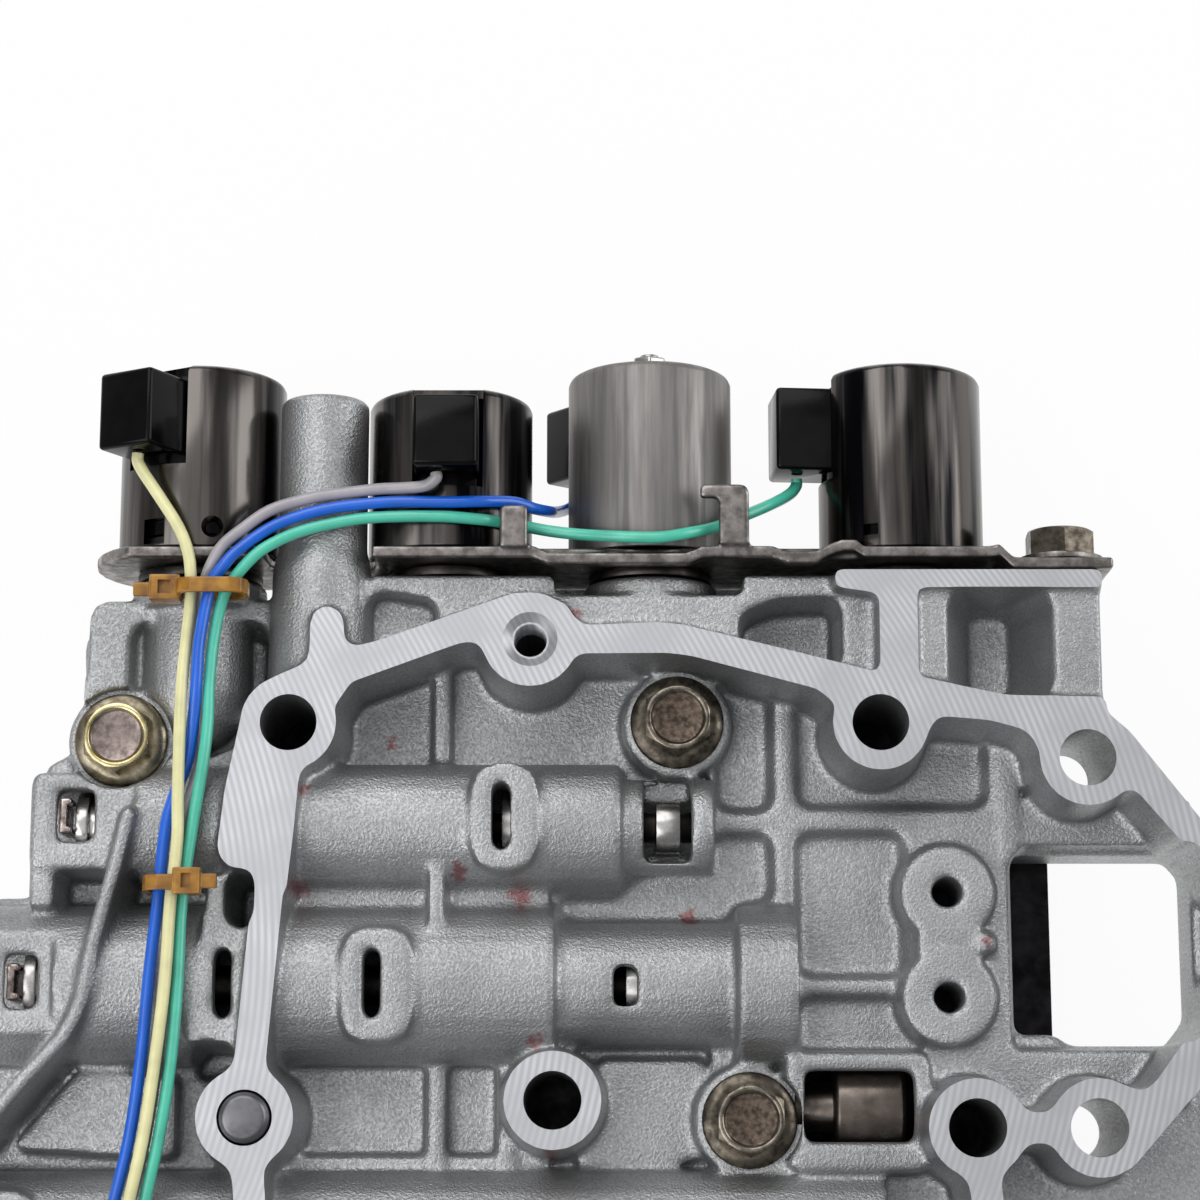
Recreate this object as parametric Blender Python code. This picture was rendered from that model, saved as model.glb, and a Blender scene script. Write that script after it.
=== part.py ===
"""Valve body of an automatic transmission: two aluminium castings with a steel separator plate
between them, spool valves in their bores, and four solenoids with their lead wires on the top edge.

It lies on its rear face: X runs along the valves, Y towards the solenoids, Z out of the milled rail.
Sizes are in millimetres, and MM turns them into Blender's metres where a mesh is made.
"""

import math

import bmesh
import bpy
from mathutils import Matrix, Vector

MM = 0.001

for left_over in list(bpy.data.objects):
    bpy.data.objects.remove(left_over, do_unlink=True)

# Stack of castings and plate
SEAT_GAP = 0.3
REAR_DEPTH = 12.2
PLATE_THICKNESS = 1.2
FRONT_DEPTH = 28.0
RAIL_HEIGHT = 17.0
DRAFT_ANGLE = 4.0

PLATE_Z = REAR_DEPTH + SEAT_GAP
MATE_Z = PLATE_Z + PLATE_THICKNESS + SEAT_GAP
RAIL_Z = MATE_Z + FRONT_DEPTH
FLOOR_Z = RAIL_Z - RAIL_HEIGHT
ROOT_Z = MATE_Z + 3.0
MILL_ALLOWANCE = 0.8

# Heights of the cast steps above the floor
RIB_HEIGHT = 3.0
BOLT_BOSS_HEIGHT = 6.0
SHELF_HEIGHT = 13.0
LEFT_SHELF_HEIGHT = 8.0
WINDOW_PAD_HEIGHT = 12.0
SHUTTLE_PAD_HEIGHT = 8.5
CURVED_RIB_HEIGHT = 15.5
LOBE_HEIGHT = 6.5
RIB_Z = FLOOR_Z + RIB_HEIGHT
BOLT_SEAT_Z = FLOOR_Z + BOLT_BOSS_HEIGHT
SHELF_Z = FLOOR_Z + SHELF_HEIGHT
LEFT_SHELF_Z = FLOOR_Z + LEFT_SHELF_HEIGHT
WINDOW_PAD_Z = FLOOR_Z + WINDOW_PAD_HEIGHT
SHUTTLE_PAD_Z = FLOOR_Z + SHUTTLE_PAD_HEIGHT
CURVED_RIB_Z = FLOOR_Z + CURVED_RIB_HEIGHT
LOBE_Z = FLOOR_Z + LOBE_HEIGHT

# Rail bosses: centre of each hole, boss radius and band between them
BOSS_RADIUS = 7.4
RAIL_HOLE_RADIUS = 4.4
BAND_HALF = 2.3
BAND_FILLET = 3.0
DOWEL_AT = (-53.7, -6.3)
BOSS_A_AT = (-48.3, 54.1)
TAPPED_AT = (-10.9, 67.2)
BOSS_C_AT = (43.5, 54.1)
BOSS_E_AT = (75.4, 48.6)
BOSS_F_AT = (57.0, -7.8)
BOSS_G_AT = (75.4, -7.8)
FREE_BOSS_AT = (-7.2, -3.7)
LOWER_LEFT_AT = (-49.5, -54.0)
LOWER_MIDDLE_AT = (6.0, -62.0)
LOWER_RIGHT_AT = (62.0, -54.0)
CASE_HOLES_AT = (
    BOSS_A_AT,
    BOSS_C_AT,
    BOSS_E_AT,
    BOSS_F_AT,
    BOSS_G_AT,
    FREE_BOSS_AT,
    LOWER_LEFT_AT,
    LOWER_MIDDLE_AT,
    LOWER_RIGHT_AT,
)
TAPPED_RADIUS = 2.7
TAPPED_MOUTH_RADIUS = 4.3
TAPPED_MOUTH_DEPTH = 1.6

# Face bolts, M6 with a flange
BOLT_LEFT_AT = (-75.7, 52.8)
BOLT_MIDDLE_AT = (12.2, 55.7)
BOLT_RIGHT_AT = (23.1, -6.4)
BOLT_LOWER_AT = (28.0, -37.5)
BOLT_RADIUS = 3.0
BOLT_HOLE_CLEARANCE = 0.4
BOLT_ACROSS_FLATS = 10.0
BOLT_FLANGE_RADIUS = 7.5
BOLT_FLANGE_HEIGHT = 1.5
BOLT_HEAD_HEIGHT = 6.0
BOLT_BOSS_RADIUS = 8.6
SEAT_CLEARANCE = 0.6
BOLT_TIP_Z = 4.3
BOLT_REACH = BOLT_SEAT_Z + SEAT_GAP - BOLT_TIP_Z

# Dowel pin
DOWEL_RADIUS = 3.9
DOWEL_LENGTH = 18.0
DOWEL_PROUD = 1.2
DOWEL_CLEARANCE = 0.4

# Valve bores: axis, height and radii
RUNNING_GAP = 0.4
BORE_A_Y = 39.3
BORE_A_Z = FLOOR_Z + 4.0
BORE_A_RADIUS = 6.0
BORE_A_SMALL_RADIUS = 4.6
BORE_A_STEP_X = 2.0
BORE_A_END_X = 16.2
BORE_B_Y = 14.6
BORE_B_Z = FLOOR_Z + 1.8
BORE_B_RADIUS = 8.5
BORE_B_SMALL_RADIUS = 6.0
BORE_B_STEP_X = -7.6
BORE_B_END_X = 19.6
BORE_C_Y = -25.0
BORE_C_Z = FLOOR_Z + 2.0
BORE_C_RADIUS = 7.0
BORE_C_END_X = 40.0
TUBE_WALL = 4.0
LEFT_FACE_A_X = -89.0
LEFT_FACE_X = -97.0

# Trough of the shuttle piston behind the large window
SHUTTLE_AT = (40.4, -4.3)
SHUTTLE_RADIUS = 7.4
SHUTTLE_LENGTH = 17.0
SHUTTLE_LAND = 11.0
SHUTTLE_STEM_RADIUS = 4.0
SHUTTLE_TRAVEL = 3.0
SHUTTLE_Z = FLOOR_Z - 1.5

# Solenoids along the top edge
CAN_AXIS_Z = FLOOR_Z + 2.0
CAN_RADIUS = 13.2
CAN_WALL = 1.0
CAN_TOP_WALL = 1.4
SLOT_CLEARANCE = 0.5
CAN_AT_X = (-64.4, -24.2, 8.1, 48.7)
CAN_HEIGHT = (29.6, 26.0, 30.4, 30.0)
BLOCK_ANGLE = (30.0, 0.0, 140.0, 85.0)
BLOCK_WIDTH = 10.2
BLOCK_HEIGHT = (12.4, 11.4, 12.4, 13.6)
BLOCK_DROP = (2.4, 3.4, 2.0, 2.4)
BLOCK_REACH = 20.8
COIL_BORE_RADIUS = 4.0
POLE_RADIUS = 3.6
POLE_LENGTH = 6.0
PLUNGER_RADIUS = 3.6
PLUNGER_LENGTH = 10.0
PLUNGER_TRAVEL = 1.2
NOSE_RADIUS = 4.2
NOSE_LENGTH = 11.0
NOSE_BORE_RADIUS = 4.8
SEAL_GROOVE_DEPTH = 1.2
SEAL_GROOVE_WIDTH = 2.0
SEAL_WIRE_RADIUS = 0.5
SEAL_SINK = 4.0
FLANGE_RADIUS = 10.0
FLANGE_THICKNESS = 1.5
NOSE_BOSS_WALL = 0.8
BARREL_RADIUS = 8.7
BARREL_END_Y = 51.6
NECK_RADIUS = 6.0

# Retainer plate
TOP_FACE_Y = 78.3
RECESS_FACE_Y = 75.1
RETAINER_THICKNESS = 1.9
RETAINER_BACK_Z = CAN_AXIS_Z - 12.0
RETAINER_FRONT_Z = CAN_AXIS_Z + 14.4
RETAINER_LIP_Z = CAN_AXIS_Z + 11.8
TAB_JOGGLE = 0.9
RETAINER_SLOT_CLEARANCE = 0.4
RETAINER_Y = TOP_FACE_Y + SEAT_GAP + FLANGE_THICKNESS + SEAT_GAP
CAN_BASE_Y = RETAINER_Y + RETAINER_THICKNESS + SEAT_GAP

# Tower between the first two cans
TOWER_X = -44.2
TOWER_Z = CAN_AXIS_Z + 6.2
TOWER_RADIUS = 7.1
TOWER_TOP_Y = 107.5
TOWER_FLARE = 0.9
TOWER_FLARE_HEIGHT = 3.0
TOWER_FOOT_Y = 60.0

# Leads and their ties
WIRE_RADIUS = 0.95
WIRE_STEP = 5.4
TIE_WIDTH = 2.4
TIE_THICKNESS = 0.9

# Round plug that passes through the transmission's case
CONNECTOR_AT = (-72.0, -44.0)
CONNECTOR_RADIUS = 7.5
CONNECTOR_LENGTH = 20.0

CIRCLE_STEPS = 20
BORE_STEPS = 18
ARC_STEP_ANGLE = 40.0


def material(name, colour, roughness, metallic):
    """One Principled material."""
    made = bpy.data.materials.new(name)
    made.use_nodes = True
    shader = made.node_tree.nodes["Principled BSDF"]
    shader.inputs["Base Color"].default_value = (*colour, 1.0)
    shader.inputs["Roughness"].default_value = roughness
    shader.inputs["Metallic"].default_value = metallic
    return made


CAST_ALUMINIUM = material("cast_aluminium", (0.42, 0.42, 0.43), 0.55, 1.0)
PLATE_STEEL = material("plate_steel", (0.06, 0.06, 0.065), 0.5, 0.8)
STAMPED_STEEL = material("stamped_steel", (0.38, 0.36, 0.35), 0.4, 1.0)
CAN_STEEL = material("can_steel", (0.24, 0.23, 0.22), 0.25, 1.0)
BLACK_MOULDING = material("black_moulding", (0.01, 0.01, 0.011), 0.35, 0.0)
ZINC_STEEL = material("zinc_steel", (0.35, 0.3, 0.18), 0.35, 1.0)
BROWN_STEEL = material("brown_steel", (0.12, 0.1, 0.08), 0.45, 1.0)
TURNED_STEEL = material("turned_steel", (0.5, 0.5, 0.5), 0.25, 1.0)
SPRING_STEEL = material("spring_steel", (0.3, 0.3, 0.3), 0.3, 1.0)
SEAL_RUBBER = material("seal_rubber", (0.02, 0.02, 0.02), 0.6, 0.0)
AMBER_NYLON = material("amber_nylon", (0.5, 0.22, 0.03), 0.45, 0.0)
WIRE_COLOURS = {
    "wire_yellow": material("wire_yellow_pvc", (0.78, 0.74, 0.44), 0.4, 0.0),
    "wire_grey": material("wire_grey_pvc", (0.32, 0.3, 0.31), 0.4, 0.0),
    "wire_blue": material("wire_blue_pvc", (0.01, 0.1, 0.5), 0.35, 0.0),
    "wire_green": material("wire_green_pvc", (0.05, 0.42, 0.34), 0.35, 0.0),
}


def finish(name, bm, look):
    """Link the bmesh as a named object, shaded smooth with its sharp edges kept."""
    bmesh.ops.recalc_face_normals(bm, faces=bm.faces[:])
    mesh = bpy.data.meshes.new(name)
    bm.to_mesh(mesh)
    bm.free()
    mesh.shade_smooth()
    mesh.set_sharp_from_angle(angle=math.radians(35.0))
    if look:
        mesh.materials.append(look)
    made = bpy.data.objects.new(name, mesh)
    bpy.context.scene.collection.objects.link(made)
    return made


def combine(target, other, operation):
    """Apply one Boolean to the target and remove the other shape."""
    step = target.modifiers.new(operation, "BOOLEAN")
    step.operation = operation
    # The front casting's drafted walls meet at very flat angles, where the exact solver leaves gaps.
    step.solver = "MANIFOLD" if target.name == "front_casting" else "EXACT"
    step.object = other
    graph = bpy.context.evaluated_depsgraph_get()
    cut = bpy.data.meshes.new_from_object(target.evaluated_get(graph))
    old = target.data
    target.modifiers.clear()
    target.data = cut
    bpy.data.meshes.remove(old)
    bpy.data.objects.remove(other, do_unlink=True)


def add(target, *shapes):
    for shape in shapes:
        combine(target, shape, "UNION")


def cut(target, *shapes):
    for shape in shapes:
        combine(target, shape, "DIFFERENCE")


def shells(bm):
    """Connected sets of faces."""
    left = set(bm.faces)
    found = []
    while left:
        shell = [left.pop()]
        for face in shell:
            for edge in face.edges:
                for neighbour in edge.link_faces:
                    if neighbour in left:
                        left.remove(neighbour)
                        shell.append(neighbour)
        found.append(shell)
    return found


def enclosed_volume(shell):
    """Signed volume of a closed set of faces; a hollow's is negative."""
    total = 0.0
    for face in shell:
        corners = [loop.vert.co for loop in face.loops]
        for second, third in zip(corners[1:], corners[2:]):
            total += corners[0].dot(second.cross(third))
    return total


def flatten(target):
    """Fill hollows trapped between cast forms, merge coplanar faces and shade the result again."""
    bm = bmesh.new()
    bm.from_mesh(target.data)
    hollows = [shell for shell in shells(bm) if enclosed_volume(shell) < 0.0]
    bmesh.ops.delete(bm, geom=[face for shell in hollows for face in shell], context="FACES")
    bmesh.ops.dissolve_limit(bm, angle_limit=math.radians(0.4), verts=bm.verts[:], edges=bm.edges[:])
    bm.to_mesh(target.data)
    bm.free()
    target.data.shade_smooth()
    target.data.set_sharp_from_angle(angle=math.radians(35.0))


def rounded(corners):
    """Outline through (x, y, radius) corners, each rounded by an arc that fits its sides."""
    outline = []
    count = len(corners)
    for index, (x, y, radius) in enumerate(corners):
        here = Vector((x, y))
        before = Vector(corners[index - 1][:2]) - here
        after = Vector(corners[(index + 1) % count][:2]) - here
        turn = math.pi - before.angle(after)
        if radius <= 0.0 or turn < math.radians(4.0):
            outline.append((x, y))
            continue
        room = 0.49 * min(before.length, after.length)
        reach = min(radius * math.tan(turn / 2.0), room)
        radius = reach / math.tan(turn / 2.0)
        bisector = (before.normalized() + after.normalized()).normalized()
        centre = here + bisector * (radius / math.cos(turn / 2.0))
        start = here + before.normalized() * reach - centre
        end = here + after.normalized() * reach - centre
        sweep = start.angle_signed(end)
        steps = max(1, round(math.degrees(turn) / ARC_STEP_ANGLE))
        for step in range(steps + 1):
            point = centre + Matrix.Rotation(-sweep * step / steps, 2) @ start
            outline.append((point.x, point.y))
    return outline


def circle(centre, radius, steps=CIRCLE_STEPS):
    """Outline of a round boss or hole."""
    angles = [2.0 * math.pi * step / steps for step in range(steps)]
    return [(centre[0] + radius * math.cos(a), centre[1] + radius * math.sin(a)) for a in angles]


def box(x_low, x_high, y_low, y_high, radius=0.0):
    """Outline of a rectangle with round corners."""
    corners = [(x_low, y_low), (x_high, y_low), (x_high, y_high), (x_low, y_high)]
    return rounded([(x, y, radius) for x, y in corners])


def band(start, end, start_radius, end_radius, half=BAND_HALF, fillet=BAND_FILLET):
    """Outline of a straight rail between two bosses, running into each with a concave fillet."""
    start = Vector(start)
    along = Vector(end) - start
    length = along.length
    along.normalize()
    across = Vector((-along.y, along.x))
    side = []
    for radius, at, facing in ((start_radius, 0.0, 1.0), (end_radius, length, -1.0)):
        if radius <= 0.0:
            side.append((at, half))
            continue
        reach = math.sqrt((radius + fillet) ** 2 - (half + fillet) ** 2)
        touching = math.atan2(-(half + fillet), -reach)
        arc = []
        for step in range(4):
            angle = touching + (-math.pi / 2.0 - touching) * step / 3.0
            u = reach + fillet * math.cos(angle)
            arc.append((at + facing * u, half + fillet + fillet * math.sin(angle)))
        side += arc if facing > 0.0 else arc[::-1]
    lower = [(u, -v) for u, v in side]
    points = [start + along * u + across * v for u, v in lower + side[::-1]]
    return [(point.x, point.y) for point in points]


def ribbon(route, half):
    """Outline of a cast rib of even width along a smooth route, with a round near end."""
    points = [Vector(point) for point in route]
    left = []
    right = []
    for index, point in enumerate(points):
        ahead = points[min(index + 1, len(points) - 1)] - points[max(index - 1, 0)]
        normal = Vector((-ahead.y, ahead.x)).normalized() * half
        left.append(point + normal)
        right.append(point - normal)
    tip = points[0] + (points[0] - points[1]).normalized() * half
    return [(point.x, point.y) for point in [tip] + left + right[::-1]]


def grown(outline, distance):
    """The outline moved outwards, side by side."""
    points = [Vector(point) for point in outline]
    area = sum(a.cross(b) for a, b in zip(points, points[1:] + points[:1]))
    facing = 1.0 if area > 0.0 else -1.0
    moved = []
    for index, point in enumerate(points):
        before = (point - points[index - 1]).normalized()
        after = (points[(index + 1) % len(points)] - point).normalized()
        normals = [Vector((side.y, -side.x)) * facing for side in (before, after)]
        spread = max(1.0 + normals[0].dot(normals[1]), 0.3)
        moved.append(point + (normals[0] + normals[1]) * distance / spread)
    return [(point.x, point.y) for point in moved]


def prism(outline, low, high, draft=0.0, name="shape", look=None):
    """Solid over an outline given at its top. With draft, it widens towards its foot."""
    bm = bmesh.new()
    top = bm.faces.new([bm.verts.new((x * MM, y * MM, high * MM)) for x, y in outline])
    walls = bmesh.ops.extrude_face_region(bm, geom=[top])
    moved = [item for item in walls["geom"] if isinstance(item, bmesh.types.BMVert)]
    foot = grown(outline, (high - low) * math.tan(math.radians(draft)))
    bm.verts.ensure_lookup_table()
    for vertex in moved:
        nearest = min(
            range(len(outline)),
            key=lambda i: abs(outline[i][0] * MM - vertex.co.x) + abs(outline[i][1] * MM - vertex.co.y),
        )
        vertex.co = (foot[nearest][0] * MM, foot[nearest][1] * MM, low * MM)
    return finish(name, bm, look)


def pocket(outline, floor, top, slope=8.0):
    """Cutter of a cast pocket: the outline is its floor, and its walls lean out towards the top."""
    return prism(grown(outline, (top - floor) * math.tan(math.radians(slope))), floor, top, -slope)


def frame_of(origin, axis):
    """Matrix that stands local +Z along an axis at an origin in millimetres."""
    turn = Vector((0.0, 0.0, 1.0)).rotation_difference(Vector(axis)).to_matrix().to_4x4()
    return Matrix.Translation(Vector(origin) * MM) @ turn


def turned(profile, origin, axis, steps=BORE_STEPS, name="shape", look=None):
    """Solid of revolution from (radius, distance) pairs that start and end on the axis."""
    bm = bmesh.new()
    chain = [bm.verts.new((radius * MM, 0.0, along * MM)) for radius, along in profile]
    edges = [bm.edges.new(pair) for pair in zip(chain, chain[1:])]
    bmesh.ops.spin(
        bm,
        geom=chain + edges,
        cent=(0.0, 0.0, 0.0),
        axis=(0.0, 0.0, 1.0),
        angle=2.0 * math.pi,
        steps=steps,
        use_merge=True,
    )
    bmesh.ops.remove_doubles(bm, verts=bm.verts[:], dist=1e-6)
    bmesh.ops.dissolve_degenerate(bm, edges=bm.edges[:], dist=1e-7)
    bmesh.ops.transform(bm, matrix=frame_of(origin, axis), verts=bm.verts[:])
    return finish(name, bm, look)


def own_origin(made, origin, axis):
    """Put a moving piece's origin on its own axis and leave its shape where it is."""
    place = frame_of(origin, axis)
    made.data.transform(place.inverted())
    made.matrix_world = place


def rod(origin, axis, radius, length, steps=BORE_STEPS, end_radius=None):
    """Plain cylinder or cone from its first end."""
    end_radius = radius if end_radius is None else end_radius
    return turned([(0.0, 0.0), (radius, 0.0), (end_radius, length), (0.0, length)], origin, axis, steps)


def along_x(y, z, x_low, x_high, radius, steps=BORE_STEPS):
    """Cylinder along the valves between two stations."""
    return rod((x_low, y, z), (1.0, 0.0, 0.0), radius, x_high - x_low, steps)


def block(x_low, x_high, y_low, y_high, z_low, z_high):
    """Plain rectangular cutter."""
    return prism(box(x_low, x_high, y_low, y_high), z_low, z_high)


# Front casting

RAIL_TOP = RAIL_Z + MILL_ALLOWANCE
OPENING_LEFT_X = 64.9
OPENING_RIGHT_X = 94.0
OPENING_LOW_Y = 5.0
OPENING_HIGH_Y = 35.6
OPENING = [
    (OPENING_LEFT_X, OPENING_LOW_Y + 1.8, 1.5),
    (OPENING_LEFT_X + 6.5, OPENING_LOW_Y + 1.8, 2.0),
    (OPENING_LEFT_X + 9.0, OPENING_LOW_Y, 2.0),
    (OPENING_RIGHT_X - 3.5, OPENING_LOW_Y, 1.0),
    (OPENING_RIGHT_X, OPENING_LOW_Y + 4.5, 1.0),
    (OPENING_RIGHT_X, OPENING_HIGH_Y - 3.0, 1.0),
    (OPENING_RIGHT_X - 2.5, OPENING_HIGH_Y, 1.0),
    (OPENING_LEFT_X, OPENING_HIGH_Y, 1.0),
]
FRONT_OUTLINE = [
    (-97.0, -58.0, 6.0),
    (-88.0, -70.0, 6.0),
    (68.0, -70.0, 8.0),
    (84.0, -62.0, 8.0),
    (100.0, -50.0, 8.0),
    (105.5, -10.0, 6.0),
    (105.5, 22.0, 7.0),
    (81.6, 53.6, 2.5),
    (78.7, 56.0, 1.5),
    (78.7, TOP_FACE_Y, 1.0),
    (22.5, TOP_FACE_Y, 0.8),
    (22.5, RECESS_FACE_Y, 0.8),
    (-7.2, RECESS_FACE_Y, 0.8),
    (-7.2, TOP_FACE_Y, 0.8),
    (-36.4, TOP_FACE_Y, 1.0),
    (-36.4, RECESS_FACE_Y, 0.8),
    (-81.2, RECESS_FACE_Y, 2.5),
    (-83.2, 69.0, 1.5),
    (-82.6, 59.5, 1.0),
    (-84.2, 52.0, 2.0),
    (-88.9, 49.6, 2.0),
    (-88.9, 28.6, 2.5),
    (-97.0, 28.6, 1.5),
]
SPUR_X = -42.5
SPUR_TOP_Y = 72.3


def rail_shapes():
    """Milled rail: bosses, the bands between them and the wide stretches, before milling."""
    outlines = [
        circle(at, BOSS_RADIUS)
        for at in (
            DOWEL_AT,
            BOSS_A_AT,
            TAPPED_AT,
            BOSS_C_AT,
            BOSS_E_AT,
            BOSS_F_AT,
            BOSS_G_AT,
            FREE_BOSS_AT,
            LOWER_LEFT_AT,
            LOWER_MIDDLE_AT,
            LOWER_RIGHT_AT,
        )
    ]
    outlines += [
        band(DOWEL_AT, (-50.5, 33.0), BOSS_RADIUS, 0.0),
        band(DOWEL_AT, LOWER_LEFT_AT, BOSS_RADIUS, BOSS_RADIUS),
        band(LOWER_LEFT_AT, LOWER_MIDDLE_AT, BOSS_RADIUS, BOSS_RADIUS),
        band(LOWER_MIDDLE_AT, LOWER_RIGHT_AT, BOSS_RADIUS, BOSS_RADIUS),
        band(LOWER_RIGHT_AT, BOSS_F_AT, BOSS_RADIUS, BOSS_RADIUS),
        band(BOSS_F_AT, BOSS_G_AT, BOSS_RADIUS, BOSS_RADIUS, half=2.2, fillet=2.4),
        left_block_outline(),
        spur_outline(),
        upper_left_outline(),
        upper_middle_outline(),
        upper_right_outline(),
        right_arm_outline(),
        top_strip_outline(),
    ]
    return [prism(outline, ROOT_Z, RAIL_TOP, DRAFT_ANGLE) for outline in outlines]


def left_block_outline():
    """Wide milled stretch beside the first tube."""
    return rounded([
        (-48.1, 28.4, 0.0),
        (-47.2, 37.3, 0.0),
        (-46.5, 46.5, 2.5),
        (-43.0, 50.0, 0.0),
        (-48.0, 56.0, 0.0),
        (-55.2, 56.8, 3.0),
        (-57.8, 43.5, 4.0),
        (-58.8, 34.0, 2.0),
        (-56.8, 31.4, 2.0),
        (-53.2, 31.3, 1.2),
        (-52.9, 28.4, 0.0),
    ])


def spur_outline():
    """Short milled spur that points at the tower."""
    half = 2.5
    return rounded([
        (-50.0, 57.0, 0.0),
        (-41.0, 57.0, 0.0),
        (-38.0, 61.5, 0.0),
        (-35.0, 66.8, 0.0),
        (SPUR_X + half, 65.4, 2.4),
        (SPUR_X + half, SPUR_TOP_Y, half),
        (SPUR_X - half, SPUR_TOP_Y, half),
        (SPUR_X - half, 63.6, 2.4),
        (-52.0, 60.6, 3.0),
    ])


def upper_left_outline():
    """Band that climbs from the spur to the tapped boss."""
    return rounded([
        (-44.0, 59.0, 0.0),
        (-41.6, 59.4, 2.0),
        (-22.0, 66.6, 0.0),
        (-19.0, 67.0, 1.8),
        (-16.6, 62.6, 0.0),
        (-10.9, 67.0, 0.0),
        (-13.0, 74.6, 0.0),
        (-17.6, 73.0, 4.0),
        (-38.0, 65.6, 0.0),
        (-44.0, 63.8, 0.0),
    ])


def upper_middle_outline():
    """Curved band from the tapped boss down to the third boss."""
    return rounded([
        (-10.9, 62.0, 0.0),
        (-5.4, 63.0, 0.0),
        (-3.4, 65.0, 1.8),
        (12.4, 65.1, 14.0),
        (33.8, 59.4, 1.6),
        (36.6, 57.0, 0.0),
        (43.5, 52.0, 0.0),
        (52.0, 55.0, 0.0),
        (51.2, 60.7, 0.0),
        (43.6, 61.8, 2.0),
        (29.0, 65.5, 14.0),
        (11.0, 69.9, 14.0),
        (-3.2, 69.3, 1.8),
        (-5.6, 73.0, 0.0),
        (-10.9, 72.0, 0.0),
    ])


def upper_right_outline():
    """Bands from the third boss over the fourth to the right-hand diagonal."""
    return rounded([
        (44.0, 50.0, 0.0),
        (50.4, 52.0, 0.0),
        (52.2, 55.2, 1.8),
        (60.4, 54.5, 6.0),
        (66.6, 52.8, 2.5),
        (68.6, 48.0, 0.0),
        (75.4, 44.0, 0.0),
        (79.6, 43.2, 0.0),
        (82.4, 43.9, 1.8),
        (98.4, 25.0, 4.0),
        (98.6, 18.6, 4.0),
        (82.8, -2.8, 2.0),
        (79.0, -1.4, 0.0),
        (78.0, -4.0, 0.0),
        (90.5, -2.2, 0.0),
        (105.0, 17.6, 5.0),
        (105.0, 22.6, 5.0),
        (81.8, 52.8, 2.5),
        (78.5, 55.4, 1.2),
        (78.5, 58.0, 0.8),
        (63.0, 58.3, 6.0),
        (49.4, 61.2, 1.5),
        (44.0, 60.0, 0.0),
    ])


def right_arm_outline():
    """Outer side of the lower right arm, tangent to the boss."""
    return rounded([
        (75.4, -7.8, 0.0),
        (80.3, -13.4, 0.0),
        (92.0, -0.4, 0.0),
        (88.0, 2.0, 0.0),
    ])


def top_strip_outline():
    """Milled strip along the top edge with the bar that joins it to the rail."""
    return rounded([
        (43.7, 60.0, 0.0),
        (49.4, 60.0, 0.0),
        (49.4, 75.6, 1.0),
        (78.5, 75.6, 0.0),
        (78.5, TOP_FACE_Y, 0.8),
        (36.8, TOP_FACE_Y, 0.8),
        (36.8, 75.6, 0.8),
        (43.7, 74.6, 1.2),
    ])


def field_shapes():
    """Cast steps between the rail and the edges: shelves, ribs and plateaus, before the pockets."""
    upper_shelf = [
        (-36.4, 64.0, 0.0),
        (-12.0, 70.0, 0.0),
        (12.0, 67.0, 0.0),
        (46.0, 60.0, 0.0),
        (46.0, TOP_FACE_Y, 0.0),
        (22.5, TOP_FACE_Y, 0.8),
        (22.5, RECESS_FACE_Y, 0.8),
        (-7.2, RECESS_FACE_Y, 0.8),
        (-7.2, TOP_FACE_Y, 0.8),
        (-36.4, TOP_FACE_Y, 1.0),
    ]
    left_shelf = [
        (-82.4, 46.0, 1.0),
        (-52.0, 46.0, 0.0),
        (-48.0, 64.0, 0.0),
        (-48.0, RECESS_FACE_Y, 0.0),
        (-81.0, RECESS_FACE_Y, 2.5),
    ]
    return [
        prism(rounded(upper_shelf), ROOT_Z, SHELF_Z, 1.0),
        prism(box(44.0, 78.4, 57.0, TOP_FACE_Y, 1.0), ROOT_Z, RAIL_Z - 1.2, 1.0),
        prism(rounded(left_shelf), ROOT_Z, LEFT_SHELF_Z, 1.0),
        prism(box(17.4, 64.6, 0.0, 64.0), ROOT_Z, RIB_Z, DRAFT_ANGLE),
        prism(box(-8.5, 18.0, 23.0, 32.0, 2.0), ROOT_Z, RIB_Z, DRAFT_ANGLE),
        prism(box(62.0, 94.0, 36.6, 44.0, 1.0), ROOT_Z, RIB_Z, DRAFT_ANGLE),
        prism(box(62.0, 92.0, -4.0, 4.6, 1.0), ROOT_Z, RIB_Z, DRAFT_ANGLE),
    ]


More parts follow.
